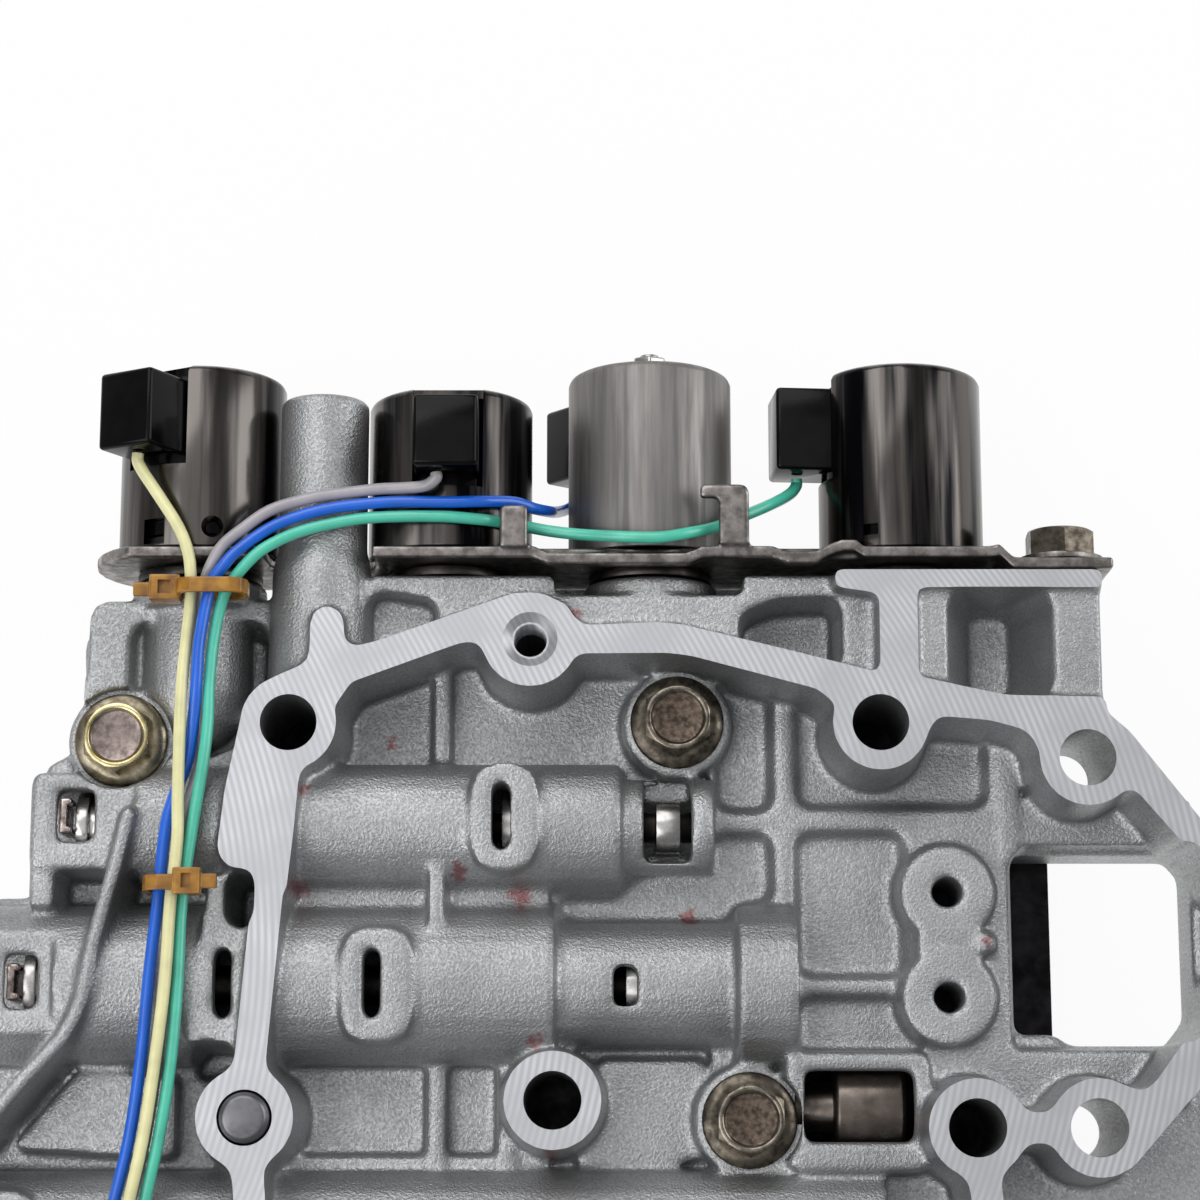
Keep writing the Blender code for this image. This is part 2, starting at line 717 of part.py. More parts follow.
def pocket_shapes():
    """Cutters of the cast pockets."""
    boxed = [
        ((31.9, 60.7, 43.4, 59.6), FLOOR_Z, RIB_Z),
        ((19.2, 26.6, 42.8, 61.6), FLOOR_Z, RIB_Z),
        ((31.8, 47.4, 16.6, 38.0), FLOOR_Z, RIB_Z),
        ((31.6, 50.0, 4.2, 12.2), FLOOR_Z, RIB_Z),
        ((59.4, 65.8, 60.6, 73.6), FLOOR_Z, RAIL_Z),
    ]
    shapes = []
    for (x_low, x_high, y_low, y_high), floor, top in boxed:
        slope = 18.0 if top == RAIL_Z else 22.0
        shapes.append(pocket(box(x_low, x_high, y_low, y_high, 1.6), floor, top + 0.5, slope))
    stepped = [
        (-5.0, 25.0, 1.5),
        (19.6, 25.0, 1.5),
        (22.6, 27.8, 1.5),
        (26.6, 28.4, 1.5),
        (26.4, 37.8, 1.5),
        (19.2, 37.8, 1.5),
        (14.0, 33.0, 1.5),
        (6.6, 31.6, 1.0),
        (2.6, 28.0, 1.5),
        (-6.4, 28.0, 1.5),
    ]
    shapes.append(pocket(rounded(stepped), FLOOR_Z, RIB_Z + 0.5, 22.0))
    upper = [(23.0, 68.0, 1.5), (37.0, 64.0, 1.0), (37.0, 74.0, 1.5), (28.0, 73.6, 3.0), (22.4, 71.4, 2.5)]
    shapes.append(pocket(rounded(upper), FLOOR_Z + 2.0, SHELF_Z + 0.5, 5.0))
    upper_left = [(-36.2, 64.0, 1.0), (-26.2, 67.4, 1.0), (-26.2, 74.0, 1.5), (-36.2, 75.6, 2.0)]
    shapes.append(pocket(rounded(upper_left), FLOOR_Z + 7.4, SHELF_Z + 0.5, 5.0))
    around_barrel = [(-73.6, 55.0, 3.0), (-68.0, 51.0, 3.0), (-59.0, 51.0, 5.0), (-53.8, 57.0, 4.0),
                     (-53.4, 71.0, 2.0), (-73.6, 71.0, 2.0)]
    shapes.append(pocket(rounded(around_barrel), FLOOR_Z - 3.0, LEFT_SHELF_Z + 0.5, 5.0))
    return shapes


def tube_shapes():
    """Round cast walls round the valve bores."""
    a_radius = BORE_A_RADIUS + TUBE_WALL
    b_radius = BORE_B_RADIUS + TUBE_WALL
    c_radius = BORE_C_RADIUS + TUBE_WALL
    neck = BORE_A_SMALL_RADIUS + 3.0
    b_small = BORE_B_SMALL_RADIUS + 3.7
    return [
        along_x(BORE_A_Y, BORE_A_Z, -72.0, BORE_A_STEP_X + 1.4, a_radius, 24),
        along_x(BORE_A_Y, BORE_A_Z, BORE_A_STEP_X, BORE_A_END_X + 1.7, neck, 24),
        along_x(BORE_B_Y, BORE_B_Z, LEFT_FACE_X, BORE_B_STEP_X + 0.6, b_radius, 26),
        along_x(BORE_B_Y, BORE_B_Z, BORE_B_STEP_X, 22.0, b_small, 24),
        along_x(BORE_B_Y, BORE_B_Z, 21.2, 30.6, b_small + 2.8, 24),
        along_x(BORE_C_Y, BORE_C_Z, LEFT_FACE_X, BORE_C_END_X + 4.0, c_radius, 24),
        along_x(-47.0, BORE_C_Z, -62.0, 50.0, c_radius - 2.0, 20),
    ]


def rib_shapes():
    """Stiffening ribs, bolt bosses, lobes and pads that stand on the floor."""
    ribs = [
        (box(-26.4, -23.8, 46.0, 66.0), RIB_Z + 1.0),
        (box(-26.5, -24.1, 22.0, 34.0), RIB_Z + 8.6),
        (box(-26.9, -24.0, -16.0, 6.0), RIB_Z + 1.0),
        (box(-15.9, -13.1, -20.0, 6.5), RIB_Z + 1.0),
        (box(-48.0, -8.0, 27.0, 30.0), RIB_Z + 3.0),
        (box(-48.0, -8.0, -13.6, -11.8), RIB_Z + 0.5),
        (box(63.4, 66.2, 34.0, 55.0, 1.0), RIB_Z + 0.3),
        (box(-26.9, -24.0, -38.0, -34.0), RIB_Z + 3.0),
        (box(18.0, 20.8, -60.0, -34.0), RIB_Z + 2.0),
    ]
    shapes = [prism(outline, ROOT_Z, top, DRAFT_ANGLE) for outline, top in ribs]
    for at in (BOLT_LEFT_AT, BOLT_MIDDLE_AT, BOLT_RIGHT_AT, BOLT_LOWER_AT):
        shapes.append(prism(circle(at, BOLT_BOSS_RADIUS), ROOT_Z, BOLT_SEAT_Z, DRAFT_ANGLE))
    for y in (12.5, 28.9):
        shapes.append(prism(circle((54.4, y), 7.4, 22), ROOT_Z, LOBE_Z, 8.0))
    shapes.append(prism(box(49.8, 59.4, 14.0, 27.0, 2.0), ROOT_Z, LOBE_Z - 0.2, 8.0))
    shapes.append(prism(circle((60.3, 21.0), 1.4, 10), ROOT_Z, LOBE_Z + 0.4, 10.0))
    pads = [
        (box(-20.1, -9.6, 31.4, 48.2, 4.0), 39.7),
        (box(-39.7, -28.7, 5.2, 22.7, 3.6), 39.9),
        (box(-88.7, -71.0, 32.0, 47.0, 1.5), WINDOW_PAD_Z),
        (box(-88.7, -84.8, 26.0, 34.0, 1.0), WINDOW_PAD_Z - 1.0),
        (box(-96.8, -84.0, 6.4, 22.0, 3.0), WINDOW_PAD_Z),
        (box(-96.8, -86.0, -33.0, -17.0, 3.0), WINDOW_PAD_Z),
        (box(28.6, 51.0, -14.0, 4.0, 2.0), SHUTTLE_PAD_Z),
        (rounded([(-64.0, 4.6, 2.0), (-55.6, 4.6, 0.0), (-54.0, 31.0, 0.0), (-60.4, 31.0, 2.0)]), 38.4),
        (rounded([(-91.5, -10.6, 1.0), (-75.0, -11.6, 1.0), (-66.0, -12.0, 1.0), (-66.0, 0.4, 1.0),
                  (-81.6, 1.0, 1.5)]), FLOOR_Z + 4.0),
        (rounded([(-4.0, -13.0, 1.0), (9.4, -13.4, 1.0), (16.4, -12.0, 1.0), (16.4, 3.0, 1.0),
                  (0.0, 3.0, 1.0)]), RIB_Z),
    ]
    shapes += [prism(outline, ROOT_Z, top, DRAFT_ANGLE) for outline, top in pads]
    curved = [(-73.0, 40.3), (-74.0, 35.6), (-74.9, 31.6), (-75.9, 27.9), (-77.0, 23.6),
              (-77.9, 20.0), (-78.5, 16.0), (-79.2, 12.0), (-80.3, 9.0), (-82.1, 5.7),
              (-84.8, 2.7), (-87.7, -0.3), (-90.6, -3.9),
              (-93.6, -7.4), (-96.4, -10.6)]
    shapes.append(prism(ribbon(curved, 1.1), ROOT_Z, CURVED_RIB_Z, DRAFT_ANGLE))
    return shapes


def tower_shapes():
    """Round tower beyond the top edge, flared below the retainer plate."""
    height = TOWER_TOP_Y - TOWER_FOOT_Y
    flared = TOWER_RADIUS + TOWER_FLARE
    collar = CAN_BASE_Y - TOWER_FOOT_Y
    column = [
        (0.0, 0.0),
        (flared, 0.0),
        (flared, collar - TOWER_FLARE_HEIGHT),
        (TOWER_RADIUS + 0.4, collar - 1.0),
        (TOWER_RADIUS, collar),
        (TOWER_RADIUS, height - 0.6),
        (TOWER_RADIUS - 0.6, height),
        (0.0, height),
    ]
    return [turned(column, (TOWER_X, TOWER_FOOT_Y, TOWER_Z), (0.0, 1.0, 0.0), 24)]


def nose_boss_shapes():
    """Round seats for the first and third solenoid, and the barrel that the first one's nose goes into."""
    start = RECESS_FACE_Y - 1.0
    collar = FLANGE_RADIUS + NOSE_BOSS_WALL
    shapes = [
        rod((CAN_AT_X[index], start, CAN_AXIS_Z), (0.0, 1.0, 0.0), collar, TOP_FACE_Y - start)
        for index in (0, 2)
    ]
    radius = BARREL_RADIUS
    length = start + 0.5 - BARREL_END_Y
    barrel = [
        (0.0, 0.0),
        (radius * 0.5, radius * 0.13),
        (radius * 0.87, radius * 0.5),
        (radius, radius),
        (radius, length),
        (0.0, length),
    ]
    shapes.append(turned(barrel, (CAN_AT_X[0], BARREL_END_Y, CAN_AXIS_Z), (0.0, 1.0, 0.0), 22))
    return shapes


def hole_shapes():
    """Drilled holes along Z."""
    deep = FRONT_DEPTH + 2.0
    shapes = [
        rod((x, y, MATE_Z - 1.0), (0, 0, 1), RAIL_HOLE_RADIUS, deep, 20)
        for x, y in CASE_HOLES_AT
    ]
    tapped = [
        (0.0, 0.0),
        (TAPPED_RADIUS, 0.0),
        (TAPPED_RADIUS, FRONT_DEPTH + 1.0 - TAPPED_MOUTH_DEPTH),
        (TAPPED_MOUTH_RADIUS, FRONT_DEPTH + 1.0),
        (TAPPED_MOUTH_RADIUS, deep),
        (0.0, deep),
    ]
    shapes.append(turned(tapped, (*TAPPED_AT, MATE_Z - 1.0), (0, 0, 1), 20))
    dowel_depth = DOWEL_LENGTH - DOWEL_PROUD + SEAT_GAP
    dowel_radius = DOWEL_RADIUS + DOWEL_CLEARANCE
    shapes.append(rod((*DOWEL_AT, RAIL_Z - dowel_depth), (0, 0, 1), dowel_radius, dowel_depth + 1.0))
    for x, y in (BOLT_LEFT_AT, BOLT_MIDDLE_AT, BOLT_RIGHT_AT, BOLT_LOWER_AT):
        shapes.append(rod((x, y, MATE_Z - 1.0), (0, 0, 1), BOLT_RADIUS + BOLT_HOLE_CLEARANCE, deep, 14))
        shapes.append(rod((x, y, BOLT_SEAT_Z), (0, 0, 1), BOLT_FLANGE_RADIUS + SEAT_CLEARANCE, 20.0, 24))
    for y in (12.5, 28.9):
        shapes.append(rod((54.4, y, MATE_Z - 1.0), (0, 0, 1), 2.4, deep, 16))
    return shapes


def bore_shapes():
    """Valve bores, their steps and the shuttle's trough."""
    trough = along_x(SHUTTLE_AT[1], SHUTTLE_Z, *shuttle_ends(), SHUTTLE_RADIUS + RUNNING_GAP, 22)
    return [
        along_x(BORE_A_Y, BORE_A_Z, LEFT_FACE_A_X - 5.0, BORE_A_STEP_X, BORE_A_RADIUS),
        along_x(BORE_A_Y, BORE_A_Z, BORE_A_STEP_X - 1.0, BORE_A_END_X, BORE_A_SMALL_RADIUS, 16),
        along_x(BORE_B_Y, BORE_B_Z, LEFT_FACE_X - 5.0, BORE_B_STEP_X, BORE_B_RADIUS),
        along_x(BORE_B_Y, BORE_B_Z, BORE_B_STEP_X - 1.0, BORE_B_END_X, BORE_B_SMALL_RADIUS, 16),
        along_x(BORE_C_Y, BORE_C_Z, LEFT_FACE_X - 5.0, BORE_C_END_X, BORE_C_RADIUS),
        trough,
        block(*shuttle_ends(), SHUTTLE_AT[1] - SHUTTLE_RADIUS - RUNNING_GAP,
              SHUTTLE_AT[1] + SHUTTLE_RADIUS + RUNNING_GAP, MATE_Z - 1.0, SHUTTLE_Z),
    ]


def shuttle_ends():
    """Ends of the shuttle's trough: the piston's length and travel between them."""
    half = (SHUTTLE_LENGTH + SHUTTLE_TRAVEL) / 2.0 + SEAT_GAP
    return SHUTTLE_AT[0] - half, SHUTTLE_AT[0] + half


WINDOW_A = (-84.6, -78.8, 36.2, 44.4)
WINDOW_B = (-91.8, -86.8, 10.4, 18.7)
WINDOW_C = (-91.8, -86.8, -29.0, -21.0)


def window_shapes():
    """Slots and windows cast or milled into the bores from the front."""
    above = RAIL_Z + 2.0
    return [
        prism(box(-16.8, -13.9, 34.6, 45.2, 1.4), BORE_A_Z, above),
        prism(box(-36.3, -33.7, 8.8, 19.5, 1.25), BORE_B_Z, above),
        prism(box(-59.3, -56.7, 8.8, 19.7, 1.25), BORE_B_Z, above),
        prism(box(2.1, 5.7, 10.8, 17.1, 0.5), BORE_B_Z, above),
        prism(box(6.8, 14.3, 33.3, 46.8, 0.5), BORE_A_Z - 2.0, above),
        prism(box(31.6, 48.4, -9.7, 1.2, 0.8), SHUTTLE_Z, above),
        prism(box(*WINDOW_A, 0.5), BORE_A_Z, above),
        prism(box(*WINDOW_B, 0.5), BORE_B_Z, above),
        prism(box(*WINDOW_C, 0.5), BORE_C_Z, above),
        pocket(box(-57.5, -53.3, 23.1, 31.1, 1.8), FLOOR_Z - 7.0, RAIL_Z + 1.0, 1.0),
        pocket(rounded([(-64.0, -0.5, 1.5), (-57.5, 1.4, 2.0), (-56.5, 4.0, 1.5), (-62.0, 4.4, 2.0)]),
               FLOOR_Z - 4.0, RAIL_Z - 2.0, 4.0),
    ]


def front_casting():
    """Main casting, built as the mould forms it and then milled and drilled."""
    low = MATE_Z - MILL_ALLOWANCE
    body = prism(rounded(FRONT_OUTLINE), low, FLOOR_Z, 1.0, "front_casting", CAST_ALUMINIUM)
    add(body, *field_shapes())
    cut(body, *pocket_shapes())
    add(body, *tube_shapes())
    cut(body, block(LEFT_FACE_X - 3.0, -84.0, -40.0, 28.0, WINDOW_PAD_Z, RAIL_Z))
    add(body, *rib_shapes())
    add(body, *tower_shapes())
    add(body, *nose_boss_shapes())
    add(body, *rail_shapes())
    cut(body, block(-120.0, 120.0, -90.0, 130.0, RAIL_Z, RAIL_Z + 20.0))
    cut(body, block(-120.0, 120.0, -90.0, 130.0, MATE_Z - 10.0, MATE_Z))
    cut(body, block(-36.6, 100.0, TOP_FACE_Y, TOP_FACE_Y + 10.0, MATE_Z - 5.0, RAIL_Z + 5.0))
    cut(body, block(-100.0, TOWER_X - 9.4, TOP_FACE_Y, TOP_FACE_Y + 10.0, MATE_Z - 5.0, RAIL_Z + 5.0))
    cut(body, prism(rounded(OPENING), MATE_Z - 1.0, RAIL_Z + 1.0, -1.0))
    cut(body, *window_shapes())
    cut(body, *bore_shapes())
    cut(body, *hole_shapes())
    for x in CAN_AT_X:
        depth = NOSE_LENGTH + 1.0
        cut(body, rod((x, TOP_FACE_Y - depth, CAN_AXIS_Z), (0, 1, 0), NOSE_BORE_RADIUS, depth + 2.0, 16))
    x, z = PLATE_BOLT_AT
    cut(body, rod((x, TOP_FACE_Y - 15.0, z), (0, 1, 0), BOLT_RADIUS + BOLT_HOLE_CLEARANCE, 17.0, 14))
    flatten(body)


PLATE_BOLT_AT = (73.4, 33.0)


# Separator plate and rear casting

REAR_OUTLINE = [
    (-93.0, -60.0, 5.0),
    (-84.0, -67.0, 5.0),
    (60.0, -67.0, 5.0),
    (73.2, -56.0, 5.0),
    (73.2, 44.0, 3.0),
    (66.0, 73.0, 4.0),
    (-78.0, 73.0, 4.0),
    (-80.0, 50.0, 3.0),
    (-87.0, 45.0, 3.0),
    (-87.0, 26.0, 2.0),
    (-93.0, 26.0, 2.0),
]
CHECK_BALL_RADIUS = 2.75
CHECK_BALL_TRAVEL = 1.2
CHECK_BALLS_AT = ((-30.0, 60.0), (30.0, 48.0), (48.0, -24.0))
FEED_HOLES_AT = ((-30.0, 39.3), (-46.0, 14.6), (10.0, -25.0))
REAR_BOLTS_AT = ((-40.0, -34.0), (45.0, 33.0), (-68.0, 20.0))


def separator_plate():
    """Steel plate between the castings, with bolt, feed and dowel holes."""
    plate = prism(grown(rounded(REAR_OUTLINE), -0.4), PLATE_Z, PLATE_Z + PLATE_THICKNESS, 0.0,
                  "separator_plate", PLATE_STEEL)
    low = PLATE_Z - 1.0
    holes = [
        rod((x, y, low), (0, 0, 1), BOLT_RADIUS + BOLT_HOLE_CLEARANCE, 4.0, 14)
        for x, y in (BOLT_LEFT_AT, BOLT_MIDDLE_AT, BOLT_RIGHT_AT, BOLT_LOWER_AT)
    ]
    holes += [rod((x, y, low), (0, 0, 1), 1.6, 4.0, 10) for x, y in CHECK_BALLS_AT]
    holes += [rod((x, y, low), (0, 0, 1), 2.2, 4.0, 10) for x, y in FEED_HOLES_AT]
    cut(plate, *holes)
    return plate


def rear_casting():
    """Second casting: mating face up, worm tracks and lightening pockets in the rest face."""
    body = prism(rounded(REAR_OUTLINE), 0.0, REAR_DEPTH, 1.5, "rear_casting", CAST_ALUMINIUM)
    tracks = [
        (box(-84.0, -52.0, 32.0, 40.0, 2.5), 3.6),
        (box(-60.0, -52.0, 32.0, 64.0, 2.5), 3.6),
        (box(-44.0, -8.0, 54.0, 62.0, 2.5), 4.2),
        (box(-44.0, -37.0, 26.0, 62.0, 2.5), 4.2),
        (box(20.0, 60.0, 58.0, 65.0, 2.5), 3.6),
        (box(53.0, 60.0, 22.0, 65.0, 2.5), 3.6),
        (box(-84.0, -20.0, -24.0, -17.0, 2.5), 4.0),
        (box(-27.0, -20.0, -46.0, -17.0, 2.5), 4.0),
        (box(-84.0, -50.0, -56.0, -46.0, 3.0), 4.0),
        (box(36.0, 64.0, -40.0, -32.0, 2.5), 3.6),
        (box(36.0, 43.0, -60.0, -32.0, 2.5), 3.6),
        (box(-30.0, 12.0, -60.0, -54.0, 2.5), 3.6),
        (box(8.0, 46.0, 20.0, 27.0, 2.5), 4.0),
        (box(-84.0, -76.0, -10.0, 22.0, 2.5), 3.6),
    ]
    for outline, depth in tracks:
        cut(body, prism(outline, -1.0, depth, DRAFT_ANGLE))
    for x, y in CHECK_BALLS_AT:
        seat = CHECK_BALL_RADIUS + RUNNING_GAP
        depth = 2.0 * seat + CHECK_BALL_TRAVEL
        cut(body, rod((x, y, REAR_DEPTH - depth), (0, 0, 1), seat, depth + 1.0, 14))
    for x, y in (BOLT_LEFT_AT, BOLT_MIDDLE_AT, BOLT_RIGHT_AT, BOLT_LOWER_AT):
        cut(body, rod((x, y, -1.0), (0, 0, 1), BOLT_RADIUS + BOLT_HOLE_CLEARANCE, REAR_DEPTH + 2.0, 14))
    for x, y in REAR_BOLTS_AT:
        cut(body, rod((x, y, -1.0), (0, 0, 1), BOLT_FLANGE_RADIUS + 0.9, 9.0, 20))
    return body


def check_balls():
    """Steel balls loose in their seats behind the plate."""
    lift = REAR_DEPTH - CHECK_BALL_RADIUS - SEAT_GAP
    for index, (x, y) in enumerate(CHECK_BALLS_AT):
        bm = bmesh.new()
        bmesh.ops.create_icosphere(bm, subdivisions=2, radius=CHECK_BALL_RADIUS * MM)
        ball = finish("check_ball_%d" % (index + 1), bm, TURNED_STEEL)
        ball.location = Vector((x, y, lift)) * MM


# Fasteners

def hexagon(centre, across):
    """Hexagonal outline."""
    return circle(centre, across / math.sqrt(3.0), 6)


def flange_bolt(name, at, look, seat=None, reach=BOLT_REACH, across=BOLT_ACROSS_FLATS):
    """M6 flange bolt: one piece, hexagon with a dished top on a round flange and shank."""
    x, y = at
    seat = (BOLT_SEAT_Z if seat is None else seat) + SEAT_GAP
    head_top = seat + BOLT_HEAD_HEIGHT
    flange_top = seat + BOLT_FLANGE_HEIGHT
    shank = [
        (0.0, -reach),
        (BOLT_RADIUS - 0.5, -reach),
        (BOLT_RADIUS, 0.8 - reach),
        (BOLT_RADIUS, 0.0),
        (BOLT_FLANGE_RADIUS, 0.0),
        (BOLT_FLANGE_RADIUS, BOLT_FLANGE_HEIGHT * 0.55),
        (BOLT_FLANGE_RADIUS - 1.6, BOLT_FLANGE_HEIGHT),
        (0.0, BOLT_FLANGE_HEIGHT),
    ]
    bolt = turned(shank, (x, y, seat), (0, 0, 1), 16, name, look)
    add(bolt, prism(hexagon(at, across), flange_top - 0.6, head_top))
    chamfer = across / 2.0
    cap = [
        (chamfer * 0.94, BOLT_HEAD_HEIGHT + 0.5),
        (chamfer * 0.94, BOLT_HEAD_HEIGHT),
        (chamfer * 1.3, BOLT_HEAD_HEIGHT - 1.1),
        (chamfer * 1.3, BOLT_HEAD_HEIGHT + 0.5),
        (chamfer * 0.94, BOLT_HEAD_HEIGHT + 0.5),
    ]
    cut(bolt, turned(cap, (x, y, seat), (0, 0, 1), 20))
    dish = [(0.0, 0.0), (chamfer * 0.62, 0.0), (chamfer * 0.7, 0.6), (0.0, 0.6)]
    cut(bolt, turned(dish, (x, y, head_top - 0.4), (0, 0, 1), 12))
    return bolt


def dowel_pin():
    """Steel dowel, proud of the rail and chamfered at its tip."""
    profile = [
        (0.0, 0.0),
        (DOWEL_RADIUS, 0.0),
        (DOWEL_RADIUS, DOWEL_LENGTH - 0.8),
        (DOWEL_RADIUS - 0.8, DOWEL_LENGTH),
        (0.0, DOWEL_LENGTH),
    ]
    foot = (*DOWEL_AT, RAIL_Z + DOWEL_PROUD - DOWEL_LENGTH)
    turned(profile, foot, (0, 0, 1), 20, "dowel_pin", TURNED_STEEL)


# Valves

def spool(name, origin, lands, end_x, stem_radius):
    """Turned valve along X: (from, to, radius) lands on a thinner stem."""
    profile = [(0.0, lands[0][0])]
    for low, high, radius in lands:
        if profile[-1][0] > 0.0:
            profile.append((stem_radius, low))
        profile += [(radius, low), (radius, high)]
        profile.append((stem_radius, high))
    profile.append((stem_radius, end_x))
    profile.append((0.0, end_x))
    shifted = [(radius, x - lands[0][0]) for radius, x in profile]
    start = (lands[0][0], *origin)
    along = (1.0, 0.0, 0.0)
    own_origin(turned(shifted, start, along, 12, name, TURNED_STEEL), start, along)


SPRING_WIRE = 0.6
SPRING_TURNS = 5
SPRING_STEPS = 8


def spring(name, origin, low, high, radius):
    """Helical compression spring between two stations on X, swept from a four-sided wire."""
    bm = bmesh.new()
    count = SPRING_TURNS * SPRING_STEPS
    rings = []
    for step in range(count + 1):
        angle = 2.0 * math.pi * step / SPRING_STEPS
        outward = Vector((0.0, math.cos(angle), math.sin(angle)))
        x = low + SPRING_WIRE + (high - low - 2.0 * SPRING_WIRE) * step / count
        centre = Vector((x, *origin)) + outward * radius
        ring = []
        for side in range(4):
            turn = 2.0 * math.pi * side / 4.0
            offset = outward * math.cos(turn) + Vector((1.0, 0.0, 0.0)) * math.sin(turn)
            ring.append(bm.verts.new((centre + offset * SPRING_WIRE) * MM))
        rings.append(ring)
    for near, far in zip(rings, rings[1:]):
        for side in range(4):
            after = (side + 1) % 4
            bm.faces.new((near[side], near[after], far[after], far[side]))
    bm.faces.new(rings[0])
    bm.faces.new(rings[-1][::-1])
    finish(name, bm, SPRING_STEEL)


def bore_plug(name, origin, low, high, radius):
    """Turned end plug with a groove and a spring seat."""
    profile = [
        (0.0, 0.0),
        (radius, 0.0),
        (radius, 2.0),
        (radius - 1.2, 2.0),
        (radius - 1.2, 3.2),
        (radius, 3.2),
        (radius, high - low),
        (0.0, high - low),
    ]
    turned(profile, (low, *origin), (1.0, 0.0, 0.0), 14, name, TURNED_STEEL)


def retainer_clip(name, window, base_z, top_z):
    """Keyed plate that drops through a window and holds the plug, folded at both edges."""
    x_low, _, y_low, y_high = window
    x_low += SEAT_GAP
    y_low += 1.3
    y_high -= 1.3
    wall = 1.2
    arm = 1.9
    outline = [
        (x_low, y_low),
        (x_low + arm, y_low),
        (x_low + arm, y_low + wall),
        (x_low + wall, y_low + wall),
        (x_low + wall, y_high - wall),
        (x_low + arm, y_high - wall),
        (x_low + arm, y_high),
        (x_low, y_high),
    ]
    prism(outline, base_z, top_z, 0.0, name, STAMPED_STEEL)
    return x_low + arm


def valve_train(tag, window, y, z, radius, spring_end, lands, end_x, stem):
    """Clip, plug, spring and spool of one bore, from its open end inwards."""
    origin = (y, z)
    plug_low = retainer_clip("retainer_clip_" + tag, window, z + 0.4, WINDOW_PAD_Z - 0.6) + SEAT_GAP
    plug_high = plug_low + 7.0
    bore_plug("bore_plug_" + tag, origin, plug_low, plug_high, radius - RUNNING_GAP)
    spring("spring_" + tag, origin, plug_high + SEAT_GAP, spring_end - SEAT_GAP, radius * 0.62)
    spool("spool_" + tag, origin, lands, end_x, stem)


def valves():
    """The three long valves and the shuttle piston."""
    land_a = BORE_A_RADIUS - RUNNING_GAP
    small_a = BORE_A_SMALL_RADIUS - RUNNING_GAP
    lands = [(-56.0, -48.0, land_a), (-38.0, -30.0, land_a), (-15.4, -6.0, land_a), (8.8, 12.6, small_a)]
    valve_train("a", WINDOW_A, BORE_A_Y, BORE_A_Z, BORE_A_RADIUS, -56.0, lands, BORE_A_END_X - SEAT_GAP, 2.4)
    land_b = BORE_B_RADIUS - RUNNING_GAP
    small_b = BORE_B_SMALL_RADIUS - RUNNING_GAP
    lands = [(-66.0, -60.5, land_b), (-54.0, -40.0, land_b), (-28.0, -16.0, land_b), (4.0, 12.0, small_b)]
    valve_train("b", WINDOW_B, BORE_B_Y, BORE_B_Z, BORE_B_RADIUS, -66.0, lands, BORE_B_END_X - SEAT_GAP, 3.2)
    land_c = BORE_C_RADIUS - RUNNING_GAP
    lands = [(-60.0, -50.0, land_c), (-30.0, -18.0, land_c), (4.0, 14.0, land_c), (28.0, 34.0, land_c)]
    valve_train("c", WINDOW_C, BORE_C_Y, BORE_C_Z, BORE_C_RADIUS, -60.0, lands, BORE_C_END_X - SEAT_GAP, 2.8)
    start = (shuttle_ends()[0] + SEAT_GAP, SHUTTLE_AT[1], SHUTTLE_Z)
    along = (1.0, 0.0, 0.0)
    land_low = SHUTTLE_LENGTH - SHUTTLE_LAND
    profile = [
        (0.0, 0.0),
        (SHUTTLE_STEM_RADIUS, 0.0),
        (SHUTTLE_STEM_RADIUS, land_low),
        (SHUTTLE_RADIUS - 0.6, land_low),
        (SHUTTLE_RADIUS, land_low + 0.6),
        (SHUTTLE_RADIUS, SHUTTLE_LENGTH - 0.6),
        (SHUTTLE_RADIUS - 0.6, SHUTTLE_LENGTH),
        (0.0, SHUTTLE_LENGTH),
    ]
    own_origin(turned(profile, start, along, 20, "shuttle_piston", TURNED_STEEL), start, along)


# Solenoids

def toward(angle):
    """Unit direction round a can's axis, from straight out of the face towards -X."""
    turn = math.radians(angle)
    return Vector((-math.sin(turn), 0.0, math.cos(turn)))


def standing_block(x, y_low, y_high, angle, near, far, width, chamfer=0.0):
    """Block that stands radially out of a can's axis."""
    outline = [
        (near, -width / 2.0, 0.0),
        (far - chamfer, -width / 2.0, 0.0),
        (far, chamfer - width / 2.0, 0.0),
        (far, width / 2.0 - chamfer, 0.0),
        (far - chamfer, width / 2.0, 0.0),
        (near, width / 2.0, 0.0),
    ]
    if chamfer <= 0.0:
        outline = [outline[0], outline[2], outline[3], outline[5]]
    shape = prism(rounded(outline), 0.0, y_high - y_low)
    outward = toward(angle)
    up = Vector((0.0, 1.0, 0.0))
    side = up.cross(outward)
    place = Matrix((outward, side, up)).transposed().to_4x4()
    place.translation = Vector((x, y_low, CAN_AXIS_Z)) * MM
    shape.data.transform(place)
    return shape


